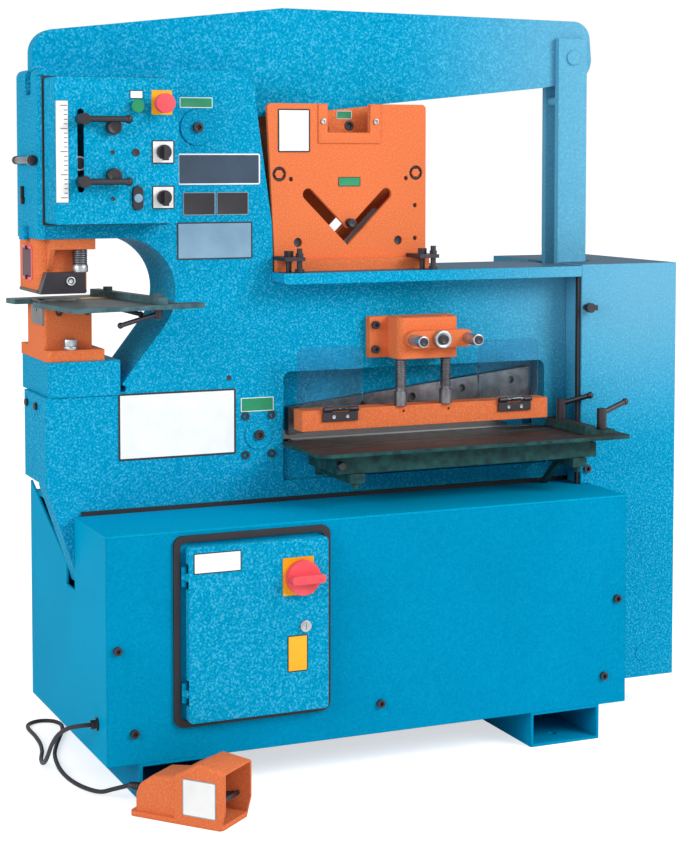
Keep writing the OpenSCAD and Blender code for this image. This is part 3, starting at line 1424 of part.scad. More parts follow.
module selector(p) {
    bar_y(p[0], p[1], 9 - run, ctl_front - 4, ctl_front + 20);
    bar_y(p[0], p[1], 15, ctl_front - 12, ctl_front - 3);
    block([p[0] - 5, ctl_front - 24, p[1] - 17], [p[0] + 5, ctl_front - 11, p[1] + 12]);
}
module selector_upper() color(dark) selector(select_at[0]);
module selector_lower() color(dark) selector(select_at[1]);

// Stroke stop: clamp in the slot, lever to the right
module stroke_stop(z) {
    bar_y(slot_at, z, 6.5, ctl_front - 2, ctl_front + button_wall + 8);
    bar_y(slot_at, z, 10, ctl_front + button_wall + 0.4, ctl_front + button_wall + 8);
    translate([slot_at, ctl_front - 0.4, z]) rotate([90, 0, 0]) cylinder(r = 12, h = 34);
    translate([slot_at, ctl_front - 26, z]) rotate([0, 90, 0]) cylinder(r = 6.5, h = 92);
    translate([slot_at + 92, ctl_front - 26, z]) sphere(9);
}
module stroke_stop_upper() color(dark) stroke_stop(slot_high - 21);
module stroke_stop_lower() color(dark) stroke_stop(slot_low + 22);

door_front = cab_front - 6 - door_t;
module electrical_door() color(blue) {
    difference() {
        slab(door_front, door_t - 0.5)
            round_rect(door_left, door_bottom, door_left + door_w, door_bottom + door_h, 8);
        slab(door_front + 4, door_t)
            round_rect(door_left + 10, door_bottom + 6, door_left + door_w - 6, door_bottom + door_h - 6, 4);
        // Hinge pockets
        for (z = lug_z) block([door_left - cut, door_front + 4, z - 26],
            [door_left + 14, cab_front, z + 26]);
        bar_y(door_left + 242, door_bottom + 278, 8, door_front - cut, door_front + 6);
        bar_y(door_left + 250, door_bottom + 176, 6 + run, door_front - cut, door_front + 6);
    }
    for (z = lug_z) difference() {
        union() {
            bar_z(hinge_ax, hinge_ay, 6, z - 7.6, z + 7.6);
            block([hinge_ax, door_front + 2, z - 7.6], [door_left + 14, hinge_ay + 2, z + 7.6]);
        }
        bar_z(hinge_ax, hinge_ay, 3 + run, z - 9, z + 9);
    }
    // Plate behind the main switch
    difference() {
        block([door_left + 202, door_front - 2, door_bottom + 243],
            [door_left + 267, door_front + cut, door_bottom + 318]);
        bar_y(door_left + 242, door_bottom + 278, 8, door_front - 3, door_front + 6);
    }
}

lock_x = door_left + 250;
lock_z = door_bottom + 176;
module door_lock() color(steel) {
    difference() {
        bar_y(lock_x, lock_z, 12, door_front - 5, door_front - 0.4);
        block([lock_x - 1.5, door_front - 5 - cut, lock_z - 8], [lock_x + 1.5, door_front - 3, lock_z + 8]);
    }
    bar_y(lock_x, lock_z, 6, door_front - cut, door_front + 12);
    block([lock_x - 5, door_front + 8, lock_z - 5], [lock_x + 5, door_front + 11, lock_z + 22]);
}

module disconnect_handle() color(red) {
    x = door_left + 242;
    z = door_bottom + 278;
    bar_y(x, z, 36, door_front - 16, door_front - 2.4);
    bar_y(x, z, 8 - run, door_front - 4, door_front + 16);
    slab(door_front - 36, 22) round_rect(x - 34, z - 9, x + 40, z + 9, 8);
}

fork_tubes();
base_cabinet();
front_panel();
rubber_seals();
front_side_plate();
rear_side_plate();
ram_housing();
die_bolster();
die_holder();
punch_die();
stripper_guard();
stripper_foot();
pivot_pins();
deck_plate();
angle_shear_housing();
fixed_blades();
shear_table();
table_brackets();
hold_down_housing();
right_cover();
control_box();
cap_screws();
electrical_tray();
hydraulic_pack();
foot_switch_housing();
cord_fittings();
foot_switch_cord();
punch_table();
upper_arm();
angle_blade_block();
tie_links();
lower_arm();
upper_blade();
cylinder_barrel();
cylinder_rod();
punch_ram();
punch();
hold_down_bar();
hold_down_rods();
hold_down_handle();
left_guard();
right_guard();
guard_hinges();
punch_fence();
fence_lever_front();
fence_lever_rear();
side_guide();
guide_lever_front();
guide_lever_rear();
start_button();
stop_button();
jog_button();
selector_upper();
selector_lower();
stroke_stop_upper();
stroke_stop_lower();
electrical_door();
door_lock();
disconnect_handle();
foot_treadle();
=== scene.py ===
import json
import math

import bmesh
import bpy
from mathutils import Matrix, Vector


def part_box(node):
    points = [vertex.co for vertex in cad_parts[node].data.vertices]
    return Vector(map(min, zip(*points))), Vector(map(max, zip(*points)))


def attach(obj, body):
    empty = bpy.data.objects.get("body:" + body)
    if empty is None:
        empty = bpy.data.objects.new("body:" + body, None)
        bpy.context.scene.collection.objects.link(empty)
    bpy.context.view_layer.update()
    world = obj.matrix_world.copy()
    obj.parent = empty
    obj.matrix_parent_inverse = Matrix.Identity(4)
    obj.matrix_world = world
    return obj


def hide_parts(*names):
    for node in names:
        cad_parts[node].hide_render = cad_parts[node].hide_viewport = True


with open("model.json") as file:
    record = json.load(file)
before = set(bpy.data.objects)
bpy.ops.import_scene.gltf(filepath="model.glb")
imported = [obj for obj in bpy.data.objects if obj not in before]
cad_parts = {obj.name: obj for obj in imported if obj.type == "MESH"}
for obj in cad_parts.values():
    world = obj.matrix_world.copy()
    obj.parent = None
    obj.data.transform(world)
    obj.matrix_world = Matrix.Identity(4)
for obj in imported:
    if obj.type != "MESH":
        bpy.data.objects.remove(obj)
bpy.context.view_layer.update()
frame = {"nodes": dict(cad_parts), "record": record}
scene = bpy.context.scene
scene.view_settings.view_transform = "Standard"
nodes = frame["nodes"]
print("frame loaded:", len(nodes), "solids")

# Camera: stands left of the machine, level with the punch head, as in the photograph
camera = {
    "place": (-1.654, -3.908, 1.286),
    "turn": 23.4,       # degrees to the right of straight ahead
    "tip": 3.4,         # degrees down
    "lens": 81.76,
    "shift": -0.180,
    "reach": (0.1, 60),  # nearest and farthest shown, in metres
}
camData = bpy.data.cameras.new("camera")
camObj = bpy.data.objects.new("camera", camData)
scene.collection.objects.link(camObj)
camObj.location = camera["place"]
camObj.rotation_euler = (math.radians(90 - camera["tip"]), 0, math.radians(-camera["turn"]))
camData.lens = camera["lens"]
camData.shift_y = camera["shift"]
camData.clip_start, camData.clip_end = camera["reach"]
scene.camera = camObj

perMetre = 1000     # millimetres


def mm(*values):
    return tuple(v / perMetre for v in values)


# Foot switch cord: straight out of the panel's gland, down to the floor, along the cabinet and back in one
# loop, into the switch. The route is in millimetres.
footCord = {
    "diameter": 0.009,
    "gland": mm(-612, -229, 147),
    "relief": mm(-552.783, -306.080, 40),
    "route": [
        (-630, -225, 146), (-650, -205, 138), (-662, -170, 116), (-665, -130, 84), (-663, -90, 50),
        (-659, -50, 25), (-654, -10, 11), (-645, 35, 6), (-630, 85, 4.8), (-620, 140, 4.8),
        (-616, 200, 4.8), (-616, 260, 4.8), (-606, 292, 4.8), (-579, 306, 4.8), (-552, 294, 4.8),
        (-541, 264, 4.8), (-548, 222, 4.8), (-568, 170, 4.8), (-590, 115, 4.8), (-610, 55, 4.8),
        (-622, -10, 4.8), (-627, -70, 4.8), (-624, -130, 4.8), (-612, -188, 6), (-594, -238, 11),
        (-575, -270, 24),
    ],
    "steps": 6,         # curve points between two points of the route
    "roundness": 4,     # steps round a quarter of the section
}


def splineAt(points, i, t):
    last = len(points) - 1
    a, b = Vector(points[max(i - 1, 0)]), Vector(points[i])
    c, d = Vector(points[min(i + 1, last)]), Vector(points[min(i + 2, last)])
    slope = c - a
    bend = 2 * a - 5 * b + 4 * c - d
    twist = 3 * b - a - 3 * c + d
    return 0.5 * (2 * b + slope * t + bend * t * t + twist * t ** 3)


def makeFootCord(facts):
    ends = [facts["gland"]] + [mm(*p) for p in facts["route"]] + [facts["relief"]]
    line = []
    for i in range(len(ends) - 1):
        line += [splineAt(ends, i, k / facts["steps"]) for k in range(facts["steps"])]
    line.append(Vector(ends[-1]))
    curve = bpy.data.curves.new("footCord", "CURVE")
    curve.dimensions = "3D"
    curve.bevel_depth = facts["diameter"] / 2
    curve.bevel_resolution = facts["roundness"]
    curve.use_fill_caps = True
    spline = curve.splines.new("POLY")
    spline.points.add(len(line) - 1)
    for point, place in zip(spline.points, line):
        point.co = (*place, 1)
    cord = bpy.data.objects.new("footCord", curve)
    scene.collection.objects.link(cord)
    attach(cord, "frame")
    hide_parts("foot_switch_cord")
    return cord


footCordObj = makeFootCord(footCord)


def hexColour(code):
    parts = [int(code[i:i + 2], 16) / 255 for i in (1, 3, 5)]
    return tuple(p / 12.92 if p <= 0.04045 else ((p + 0.055) / 1.055) ** 2.4 for p in parts) + (1.0,)


def addNode(material, kind, inputs=None, **settings):
    node = material.node_tree.nodes.new(kind)
    for name, value in settings.items():
        setattr(node, name, value)
    for name, value in (inputs or {}).items():
        if isinstance(value, bpy.types.NodeSocket):
            material.node_tree.links.new(value, node.inputs[name])
        else:
            node.inputs[name].default_value = value
    return node


def newMaterial(name):
    material = bpy.data.materials.new(name)
    material.use_nodes = True
    shader = material.node_tree.nodes["Principled BSDF"]
    return material, shader


def linkTo(material, out, socket):
    material.node_tree.links.new(out, socket)


def setRamp(node, stops):
    ramp = node.color_ramp
    while len(ramp.elements) < len(stops):
        ramp.elements.new(0.5)
    for element, (place, code) in zip(ramp.elements, stops):
        element.position = place
        element.color = hexColour(code)


# Sockets of a colour Mix node, whose names its other data types share
mixFactor, mixFirst, mixSecond, mixResult = 0, 6, 7, 2
# Slow drifts of tone and fine marks in each finish, per metre of surface
enamelDrifts, steelDrifts, plateDrifts, mouldedDrifts = 3.5, 9.0, 8.0, 14.0
plateMarks, sheetScuffs = 45.0, 60.0


# Faces that lie level
def levelMask(material, low, high):
    normal = addNode(material, "ShaderNodeNewGeometry").outputs["True Normal"]
    up = addNode(material, "ShaderNodeSeparateXYZ", {"Vector": normal})
    level = addNode(material, "ShaderNodeMapRange", {"Value": up.outputs["Z"], "From Min": low,
                    "From Max": high})
    return level.outputs["Result"]


# The upper right of the machine, where a paler tone is painted in as the highlight of a light from the
# right
def paintedGlareMask(material, place):
    spot = addNode(material, "ShaderNodeSeparateXYZ", {"Vector": place})
    right = addNode(material, "ShaderNodeMapRange", {"Value": spot.outputs["X"], "From Min": 0.15,
                    "From Max": 0.75}, interpolation_type="SMOOTHSTEP")
    high = addNode(material, "ShaderNodeMapRange", {"Value": spot.outputs["Z"], "From Min": 0.6,
                   "From Max": 1.0, "To Max": 0.6}, interpolation_type="SMOOTHSTEP")
    glareShare = addNode(material, "ShaderNodeMath", {0: right.outputs["Result"], 1: high.outputs["Result"]},
                    operation="MULTIPLY")
    return glareShare.outputs["Value"]


# Last step of the opaque finishes: edges that look rounded, a fine relief and the links to the shader
def coat(material, shader, colour, gloss, height, edge, strength, depth):
    rounded = addNode(material, "ShaderNodeBevel", {"Radius": edge}, samples=4)
    bump = addNode(material, "ShaderNodeBump", {"Height": height, "Strength": strength, "Distance": depth,
                   "Normal": rounded.outputs["Normal"]})
    linkTo(material, colour, shader.inputs["Base Color"])
    linkTo(material, gloss, shader.inputs["Roughness"])
    linkTo(material, bump.outputs["Normal"], shader.inputs["Normal"])


# Hammertone enamel: sprayed paint with small paler cells over an even ground, partly the paint's own
# pattern and partly painted sparkle highlights
def hammertone(name, ground, body, cellAndSparkle, cellSize=0.0042, sheen=0.004, top=None, glareTint=None):
    material, shader = newMaterial(name)
    place = addNode(material, "ShaderNodeTexCoord").outputs["Object"]
    cells = addNode(material, "ShaderNodeTexNoise", {"Vector": place, "Scale": 1 / cellSize, "Detail": 2.0,
                    "Roughness": 0.5})
    drift = addNode(material, "ShaderNodeTexNoise", {"Vector": place, "Scale": enamelDrifts, "Detail": 2.0})
    tone = addNode(material, "ShaderNodeValToRGB", {"Fac": cells.outputs["Fac"]})
    # paler cells: the paint's own pattern, with painted sparkle highlights
    setRamp(tone, [(0.36, ground), (0.48, body), (0.54, body), (0.68, cellAndSparkle)])
    worn = addNode(material, "ShaderNodeMapRange", {"Value": drift.outputs["Fac"], "From Min": 0.3,
                   "From Max": 0.7, "To Min": 0.94, "To Max": 1.04})
    shade = addNode(material, "ShaderNodeHueSaturation", {"Color": tone.outputs["Color"],
                    "Value": worn.outputs["Result"]})
    colour = shade.outputs["Color"]
    # painted highlight: the paint turns paler toward the upper right
    if glareTint:
        pale = addNode(material, "ShaderNodeMix", {mixFactor: paintedGlareMask(material, place), mixFirst: colour,
                       mixSecond: hexColour(glareTint)}, data_type="RGBA")
        colour = pale.outputs[mixResult]
    if top:      # level faces take a darker slate tone
        levelTone = addNode(material, "ShaderNodeMix", {mixFactor: levelMask(material, 0.8, 0.95),
                       mixFirst: colour, mixSecond: hexColour(top)}, data_type="RGBA")
        colour = levelTone.outputs[mixResult]
    gloss = addNode(material, "ShaderNodeMapRange", {"Value": cells.outputs["Fac"], "To Min": 0.5,
                    "To Max": 0.36})
    coat(material, shader, colour, gloss.outputs["Result"], cells.outputs["Fac"], edge=0.0025,
         strength=0.18, depth=0.001)
    shader.inputs["Specular IOR Level"].default_value = sheen
    return material


# Turned or ground steel: fine lines across the surface, a cool grey with darker drifts
def groundSteel(name, dark, light, rough=0.32, lineSize=0.0016, draw=14):
    material, shader = newMaterial(name)
    place = addNode(material, "ShaderNodeTexCoord").outputs["Object"]
    turned = addNode(material, "ShaderNodeMapping", {"Vector": place, "Scale": (1, draw, 1)})
    lines = addNode(material, "ShaderNodeTexNoise", {"Vector": turned.outputs["Vector"],
                    "Scale": 1 / (lineSize * draw), "Detail": 4.0, "Roughness": 0.6})
    drift = addNode(material, "ShaderNodeTexNoise", {"Vector": place, "Scale": steelDrifts, "Detail": 3.0})
    both = addNode(material, "ShaderNodeMath", {0: lines.outputs["Fac"], 1: drift.outputs["Fac"]},
                   operation="ADD")
    half = addNode(material, "ShaderNodeMath", {0: both.outputs["Value"], 1: 0.5}, operation="MULTIPLY")
    tone = addNode(material, "ShaderNodeValToRGB", {"Fac": half.outputs["Value"]})
    setRamp(tone, [(0.36, dark), (0.64, light)])
    gloss = addNode(material, "ShaderNodeMapRange", {"Value": lines.outputs["Fac"], "To Min": rough - 0.08,
                    "To Max": rough + 0.12})
    coat(material, shader, tone.outputs["Color"], gloss.outputs["Result"], lines.outputs["Fac"], edge=0.001,
         strength=0.12, depth=0.0004)
    shader.inputs["Metallic"].default_value = 0.85
    return material


# Oiled mill plate: brownish top, partly rust and partly a painted reflection of the orange hold-down bar,
# sides of another tone, dull sheen
def millPlate(name, sides, tops):
    material, shader = newMaterial(name)
    place = addNode(material, "ShaderNodeTexCoord").outputs["Object"]
    lines = addNode(material, "ShaderNodeTexNoise", {"Vector": place, "Scale": plateMarks, "Detail": 5.0})
    drift = addNode(material, "ShaderNodeTexNoise", {"Vector": place, "Scale": plateDrifts, "Detail": 3.0})
    top = addNode(material, "ShaderNodeValToRGB", {"Fac": drift.outputs["Fac"]})
    setRamp(top, [(0.32, tops[0]), (0.68, tops[1])])
    side = addNode(material, "ShaderNodeValToRGB", {"Fac": lines.outputs["Fac"]})
    setRamp(side, [(0.35, sides[0]), (0.65, sides[1])])
    tone = addNode(material, "ShaderNodeMix", {mixFactor: levelMask(material, 0.6, 0.8),
                   mixFirst: side.outputs["Color"], mixSecond: top.outputs["Color"]}, data_type="RGBA")
    gloss = addNode(material, "ShaderNodeMapRange", {"Value": lines.outputs["Fac"], "To Min": 0.42,
                    "To Max": 0.6})
    coat(material, shader, tone.outputs[mixResult], gloss.outputs["Result"], lines.outputs["Fac"],
         edge=0.001, strength=0.1, depth=0.0005)
    shader.inputs["Specular IOR Level"].default_value = 0.12
    return material


# Moulded plastic, rubber or smooth enamel: nearly even colour with a faint grain
def moulded(name, dark, light, rough=0.45, grain=0.0012, ior=1.46, lift=0.10):
    material, shader = newMaterial(name)
    place = addNode(material, "ShaderNodeTexCoord").outputs["Object"]
    fine = addNode(material, "ShaderNodeTexNoise", {"Vector": place, "Scale": 1 / grain, "Detail": 2.0})
    drift = addNode(material, "ShaderNodeTexNoise", {"Vector": place, "Scale": mouldedDrifts,
                    "Detail": 3.0})
    tone = addNode(material, "ShaderNodeValToRGB", {"Fac": drift.outputs["Fac"]})
    setRamp(tone, [(0.3, dark), (0.7, light)])
    gloss = addNode(material, "ShaderNodeMapRange", {"Value": drift.outputs["Fac"], "To Min": rough - 0.07,
                    "To Max": rough + 0.07})
    coat(material, shader, tone.outputs["Color"], gloss.outputs["Result"], fine.outputs["Fac"], edge=0.0012,
         strength=lift, depth=0.0003)
    shader.inputs["IOR"].default_value = ior
    return material


# Clear polycarbonate sheet: see-through with a pale blue cast and faint scuffs
def clearSheet(name):
    material, shader = newMaterial(name)
    place = addNode(material, "ShaderNodeTexCoord").outputs["Object"]
    scuff = addNode(material, "ShaderNodeTexNoise", {"Vector": place, "Scale": sheetScuffs, "Detail": 5.0})
    haze = addNode(material, "ShaderNodeMapRange", {"Value": scuff.outputs["Fac"], "From Min": 0.45,
                   "From Max": 0.8, "To Min": 0.0, "To Max": 0.08})
    linkTo(material, haze.outputs["Result"], shader.inputs["Roughness"])
    shader.inputs["Base Color"].default_value = hexColour("#D2E4EC")
    shader.inputs["Transmission Weight"].default_value = 1.0
    shader.inputs["IOR"].default_value = 1.2
    return material


finishes = {
    # the pale tone given for the upper right of the blue paints is a painted highlight
    "blue_paint": hammertone("hammertoneEnamelBlue", "#0085AE", "#0496C1", "#48AED2", glareTint="#7CB0C8"),
    "panelPaint": hammertone("smoothEnamelBlue", "#0083AE", "#0089B4", "#068FBA"),
    "cabinetPaint": hammertone("smoothEnamelPaleBlue", "#0092BD", "#0097C2", "#089CC8"),
    # level faces of the deck and right cover get a darker slate tone
    "deckPaint": hammertone("deckEnamelSlateTop", "#0085AE", "#0496C1", "#48AED2", glareTint="#7CB0C8",
                            top="#48677C"),
    "orange_paint": hammertone("texturedEnamelOrange", "#DA6E42", "#DE7648", "#E6885E", cellSize=0.003),
    "machined_steel": groundSteel("groundSteel", "#8C9095", "#C6C9CC"),
    "blade_steel": groundSteel("toolSteel", "#4B4A4E", "#87878C", rough=0.38),
    # the table's brownish top tone is partly rust and partly a painted reflection of the orange hold-down
    # bar
    "table_steel": millPlate("oiledMillPlate", ("#123236", "#24504E"), ("#241D1C", "#40332F")),
    "punchPlate": millPlate("greyMillPlate", ("#35525A", "#4E6E74"), ("#45494A", "#5C6060")),
    "black_oxide": moulded("blackOxideSteel", "#16131C", "#2B2733", rough=0.42),
    "black_plastic": moulded("blackNylon", "#141118", "#25212B", rough=0.4),
    "rubber": moulded("blackRubber", "#121016", "#211E26", rough=0.62),
    "clear_guard": clearSheet("clearPolycarbonate"),
    "red_plastic": moulded("redNylon", "#DC3A46", "#EE5660", rough=0.38),
    "green_plastic": moulded("greenNylon", "#00784A", "#08905E", rough=0.35),
    "grey_paint": moulded("greyEnamel", "#3B4047", "#555B63", rough=0.4),
    "zinc_plate": groundSteel("zincPlate", "#A9ABAD", "#CFD0D0", rough=0.45),
    # Printed sheet plates, bare: an even satin colour
    "whitePlate": moulded("whiteSheet", "#E4E6E6", "#F2F3F3", rough=0.4, lift=0.03),
    "blackPlate": moulded("blackSheet", "#15131B", "#201D27", rough=0.38, lift=0.03),
    "slatePlate": moulded("slateSheet", "#22364B", "#2B4259", rough=0.38, lift=0.03),
    "greenPlate": moulded("greenSheet", "#007C50", "#0A8C5E", rough=0.4, lift=0.03),
    "chartBlue": moulded("paleBlueSheet", "#6F93AD", "#82A4BC", rough=0.4, lift=0.03),
    "yellowPlate": moulded("yellowSheet", "#E9A60E", "#F4B41A", rough=0.4, lift=0.03),
    "greyPrint": moulded("greySheet", "#8D9499", "#A0A6AA", rough=0.42, lift=0.03),
    "redFrame": moulded("redSheet", "#D84650", "#E8606A", rough=0.4, lift=0.05),
    "plumGlass": moulded("plumAcrylic", "#3F1A2C", "#522238", rough=0.35, lift=0.02, ior=1.2),
}


def finish(name):
    return finishes[name]


slotOf = {s["node"]: s["material_slot"] for s in frame["record"]["subparts"]}
ownFinish = {"deck_plate": "deckPaint", "right_cover": "deckPaint", "front_panel": "panelPaint",
             "base_cabinet": "cabinetPaint", "fork_tubes": "panelPaint", "punch_die": "blade_steel",
             "hold_down_rods": "blade_steel", "punch_table": "punchPlate", "punch_fence": "punchPlate"}
for name, obj in nodes.items():
    obj.data.materials.clear()
    obj.data.materials.append(finish(ownFinish.get(name, slotOf[name])))
footCordObj.data.materials.append(finish("rubber"))
print("finishes on", len(nodes), "solids")

# Hand modelling helpers: start a primitive at its size, pick by place, finish at the origin
sameWay = 0.9           # cosine over which a face looks in a direction
sameLine = 0.95         # cosine over which an edge or a normal lies along a line
creaseAngle = 35        # degrees, sharper edges are rounded and shaded as edges
cutMargin = 0.02        # metres that a cutting tool runs past what it cuts
cornerSteps = 4         # bevel steps round a plate's corner
rimShare = 0.3          # rim of a plug or nut, as a share of its radius
boltRimShare = 0.4      # the same on a pin's bolt


def startBox(low, high):
    bpy.ops.object.select_all(action="DESELECT")
    bpy.ops.mesh.primitive_cube_add(size=1, location=[(a + b) / 2 for a, b in zip(low, high)])
    obj = bpy.context.object
    obj.scale = [b - a for a, b in zip(low, high)]
    bpy.ops.object.transform_apply(location=True, rotation=True, scale=True)
    return obj


def startRound(place, radius, depth, axis="Y", sides=32):
    turns = {"X": (0, math.pi / 2, 0), "Y": (math.pi / 2, 0, 0), "Z": (0, 0, 0)}
    bpy.ops.object.select_all(action="DESELECT")
    bpy.ops.mesh.primitive_cylinder_add(vertices=sides, radius=radius, depth=depth, location=place,
                                        rotation=turns[axis])
    obj = bpy.context.object
    bpy.ops.object.transform_apply(location=True, rotation=True, scale=True)
    return obj


def pick(obj, kind, test):
    bpy.ops.object.mode_set(mode="EDIT")
    bpy.ops.mesh.select_mode(type=kind)
    bpy.ops.mesh.select_all(action="DESELECT")
    mesh = bmesh.from_edit_mesh(obj.data)
    for part in (mesh.faces if kind == "FACE" else mesh.edges):
        part.select_set(test(part))
    mesh.select_flush_mode()
    bmesh.update_edit_mesh(obj.data)


def facing(*direction):
    return lambda face: face.normal.dot(Vector(direction)) > sameWay


def alongAxis(index):
    def test(edge):
        run = edge.verts[1].co - edge.verts[0].co
        return abs(run[index]) > sameLine * run.length
    return test


def leaveEdit():
    bpy.ops.object.mode_set(mode="OBJECT")


def roundEdges(obj, width, segments=2, angle=creaseAngle):
    soften = obj.modifiers.new("soften", "BEVEL")
    soften.width = width
    soften.segments = segments
    soften.limit_method = "ANGLE"
    soften.angle_limit = math.radians(angle)
    bpy.context.view_layer.objects.active = obj
    bpy.ops.object.modifier_apply(modifier=soften.name)


def copied(obj, shift):
    twin = obj.copy()
    twin.data = obj.data.copy()
    scene.collection.objects.link(twin)
    for corner in twin.data.vertices:
        corner.co += Vector(shift)
    return twin


def joined(parts):
    bpy.ops.object.select_all(action="DESELECT")
    for part in parts:
        part.select_set(True)
    bpy.context.view_layer.objects.active = parts[0]
    bpy.ops.object.join()
    return parts[0]


def settle(obj, name, body, slot, *materials):
    obj.name = name
    obj.data.name = name
    if materials:
        obj.data.materials.clear()
        for material in materials:
            obj.data.materials.append(material)
    bpy.ops.object.select_all(action="DESELECT")
    obj.select_set(True)
    bpy.context.view_layer.objects.active = obj
    bpy.ops.object.transform_apply(location=True, rotation=True, scale=True)
    bpy.ops.object.shade_smooth_by_angle(angle=math.radians(creaseAngle))
    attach(obj, body)
    return obj


def cutAway(obj, tool):
    cut = obj.modifiers.new("cut", "BOOLEAN")
    cut.operation = "DIFFERENCE"
    cut.solver = "EXACT"
    cut.object = tool
    bpy.context.view_layer.objects.active = obj
    bpy.ops.object.modifier_apply(modifier=cut.name)
    bpy.data.objects.remove(tool)


plateUsual = {"depth": 1.2, "corner": 3, "border": 2, "sink": 0.2, "side": "front", "body": "frame",
              "slot": "black_plastic"}


# A thin plate on a front or left face: rounded corners, a raised border and a field of another finish
def borderedPlate(own, rim, field):
    facts = {**plateUsual, **own}
    a0, a1, z0, z1 = mm(*facts["span"])
    face, depth, corner = mm(facts["face"], facts["depth"], facts["corner"])
    border, sink = mm(facts["border"], facts["sink"])
    onLeft = facts["side"] == "left"
    if onLeft:
        plate = startBox((face - depth, a0, z0), (face, a1, z1))
    else:
        plate = startBox((a0, face - depth, z0), (a1, face, z1))
    plate.data.materials.append(finish(rim))
    plate.data.materials.append(finish(field))
    pick(plate, "EDGE", alongAxis(0 if onLeft else 1))
    bpy.ops.mesh.bevel(offset=corner, segments=cornerSteps, affect="EDGES")
    pick(plate, "FACE", facing(-1, 0, 0) if onLeft else facing(0, -1, 0))
    bpy.ops.mesh.inset(thickness=border, depth=-sink)
    plate.active_material_index = 1
    bpy.ops.object.material_slot_assign()
    leaveEdit()
    if "hole" in facts:
        x, z, radius = mm(*facts["hole"])
        cutAway(plate, startRound((x, face, z), radius, cutMargin))
    if "turn" in facts:
        plate.rotation_euler.z = math.radians(facts["turn"])
        plate.location = mm(*facts["move"])
    return settle(plate, facts["name"], facts["body"], facts["slot"])


turnedUsual = {"axis": "Y", "sides": 32, "edge": 0.6, "body": "frame", "slot": "black_oxide"}
outward = {"X": Vector((-1, 0, 0)), "Y": Vector((0, -1, 0)), "Z": Vector((0, 0, 1))}


# A turned piece: a round blank whose outer end is stepped in and out
def turnedPiece(own, finishName):
    facts = {**turnedUsual, **own}
    depth, radius, edge = mm(facts["depth"], facts["radius"], facts["edge"])
    out = outward[facts["axis"]]
    foot = Vector(mm(*facts["foot"]))
    blank = startRound(foot + out * depth / 2, radius, depth, facts["axis"], facts["sides"])
    pick(blank, "FACE", facing(*out))
    for step in facts["steps"]:
        inset, rise = mm(*step)
        bpy.ops.mesh.inset(thickness=inset, depth=rise)
    leaveEdit()
    roundEdges(blank, edge)
    return settle(blank, facts["name"], facts["body"], facts["slot"], finish(finishName))


socketHead = [(2.4, 0), (1.2, -3)]       # rim, then the key hole sunk into the head

# Control box face: scale strip, knobs, plugs, plates under the buttons, pin behind the slot, jog lens
boxFace = -150
scaleMarks = {"count": 21, "group": 5, "first": 1203, "pitch": 9.25, "right": -627, "long": 14, "short": 7,
              "width": 1.4, "front": boxFace - 1.5, "back": boxFace - 0.8, "edge": 0.2}


def makeScaleMarks(facts):
    marks = []
    for i in range(facts["count"]):
        run = facts["long"] if i % facts["group"] == 0 else facts["short"]
        z = facts["first"] + i * facts["pitch"]
        half = facts["width"] / 2
        mark = startBox(mm(facts["right"] - run, facts["front"], z - half),
                        mm(facts["right"], facts["back"], z + half))
        roundEdges(mark, facts["edge"] / perMetre, 1)
        marks.append(mark)
    return settle(joined(marks), "strokeScaleMarks", "frame", "black_plastic", finish("blackPlate"))


borderedPlate({"name": "strokeScale", "span": (-651, -625, 1193, 1398), "face": boxFace, "border": 0.8,
               "corner": 2}, "greyPrint", "whitePlate")
makeScaleMarks(scaleMarks)
for name, z in (("stopKnobUpper", 1345), ("stopKnobLower", 1247)):
    turnedPiece({"name": name, "foot": (-533, boxFace, z), "radius": 15.4, "depth": 17,
                 "steps": [(2.5, 1.5), (4, -1.5), (3, 0)], "edge": 1.2}, "black_plastic")
for name, x, z, r in (("plugUpper", -533, 1294, 4.5), ("plugLower", -533, 1200, 4.5),
                      ("plugSide", -484, 1294, 8)):
    turnedPiece({"name": name, "foot": (x, boxFace, z), "radius": r, "depth": 1.6,
                 "steps": [(r * rimShare, -0.6)], "edge": 0.4}, "black_plastic")
borderedPlate({"name": "startPlate", "span": (-496, -468, 1403, 1420), "face": boxFace, "corner": 1.5,
               "border": 1.5}, "blackPlate", "whitePlate")
borderedPlate({"name": "stopPlate", "span": (-450, -406, 1371, 1421), "face": boxFace, "corner": 2,
               "border": 0.8, "hole": (-429, 1394, 9.6)}, "yellowPlate", "yellowPlate")
for name, z in (("selectorPlateUpper", 1295), ("selectorPlateLower", 1202)):
    borderedPlate({"name": name, "span": (-450, -402, z - 24, z + 24), "face": boxFace, "corner": 3.5,
                   "border": 2.5, "hole": (-426, z, 9.6)}, "blackPlate", "whitePlate")
slotBack = boxFace + 16.8       # behind the inner flanges of the stroke stops
turnedPiece({"name": "slotPointer", "foot": (-598, slotBack, 1272), "radius": 15, "depth": 4,
             "steps": [(3, 0), (0.6, -2)], "edge": 0.5}, "whitePlate")
turnedPiece({"name": "slotPointerEnd", "foot": (-598, slotBack - 1, 1272), "radius": 11.4, "depth": 2,
             "steps": [(1.4, -0.5)], "edge": 0.4}, "black_plastic")
jogLow, jogHigh = ([v * perMetre for v in corner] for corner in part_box("jog_button"))
jogX, jogZ = (jogLow[0] + jogHigh[0]) / 2, (jogLow[2] + jogHigh[2]) / 2
turnedPiece({"name": "jogLens", "foot": (jogX, jogLow[1] + 0.5, jogZ), "radius": 9, "depth": 1.6,
             "body": "jog_button", "steps": [(2, 0.4), (3, 0.2)], "edge": 0.4}, "chartBlue")
print("control box dressed")

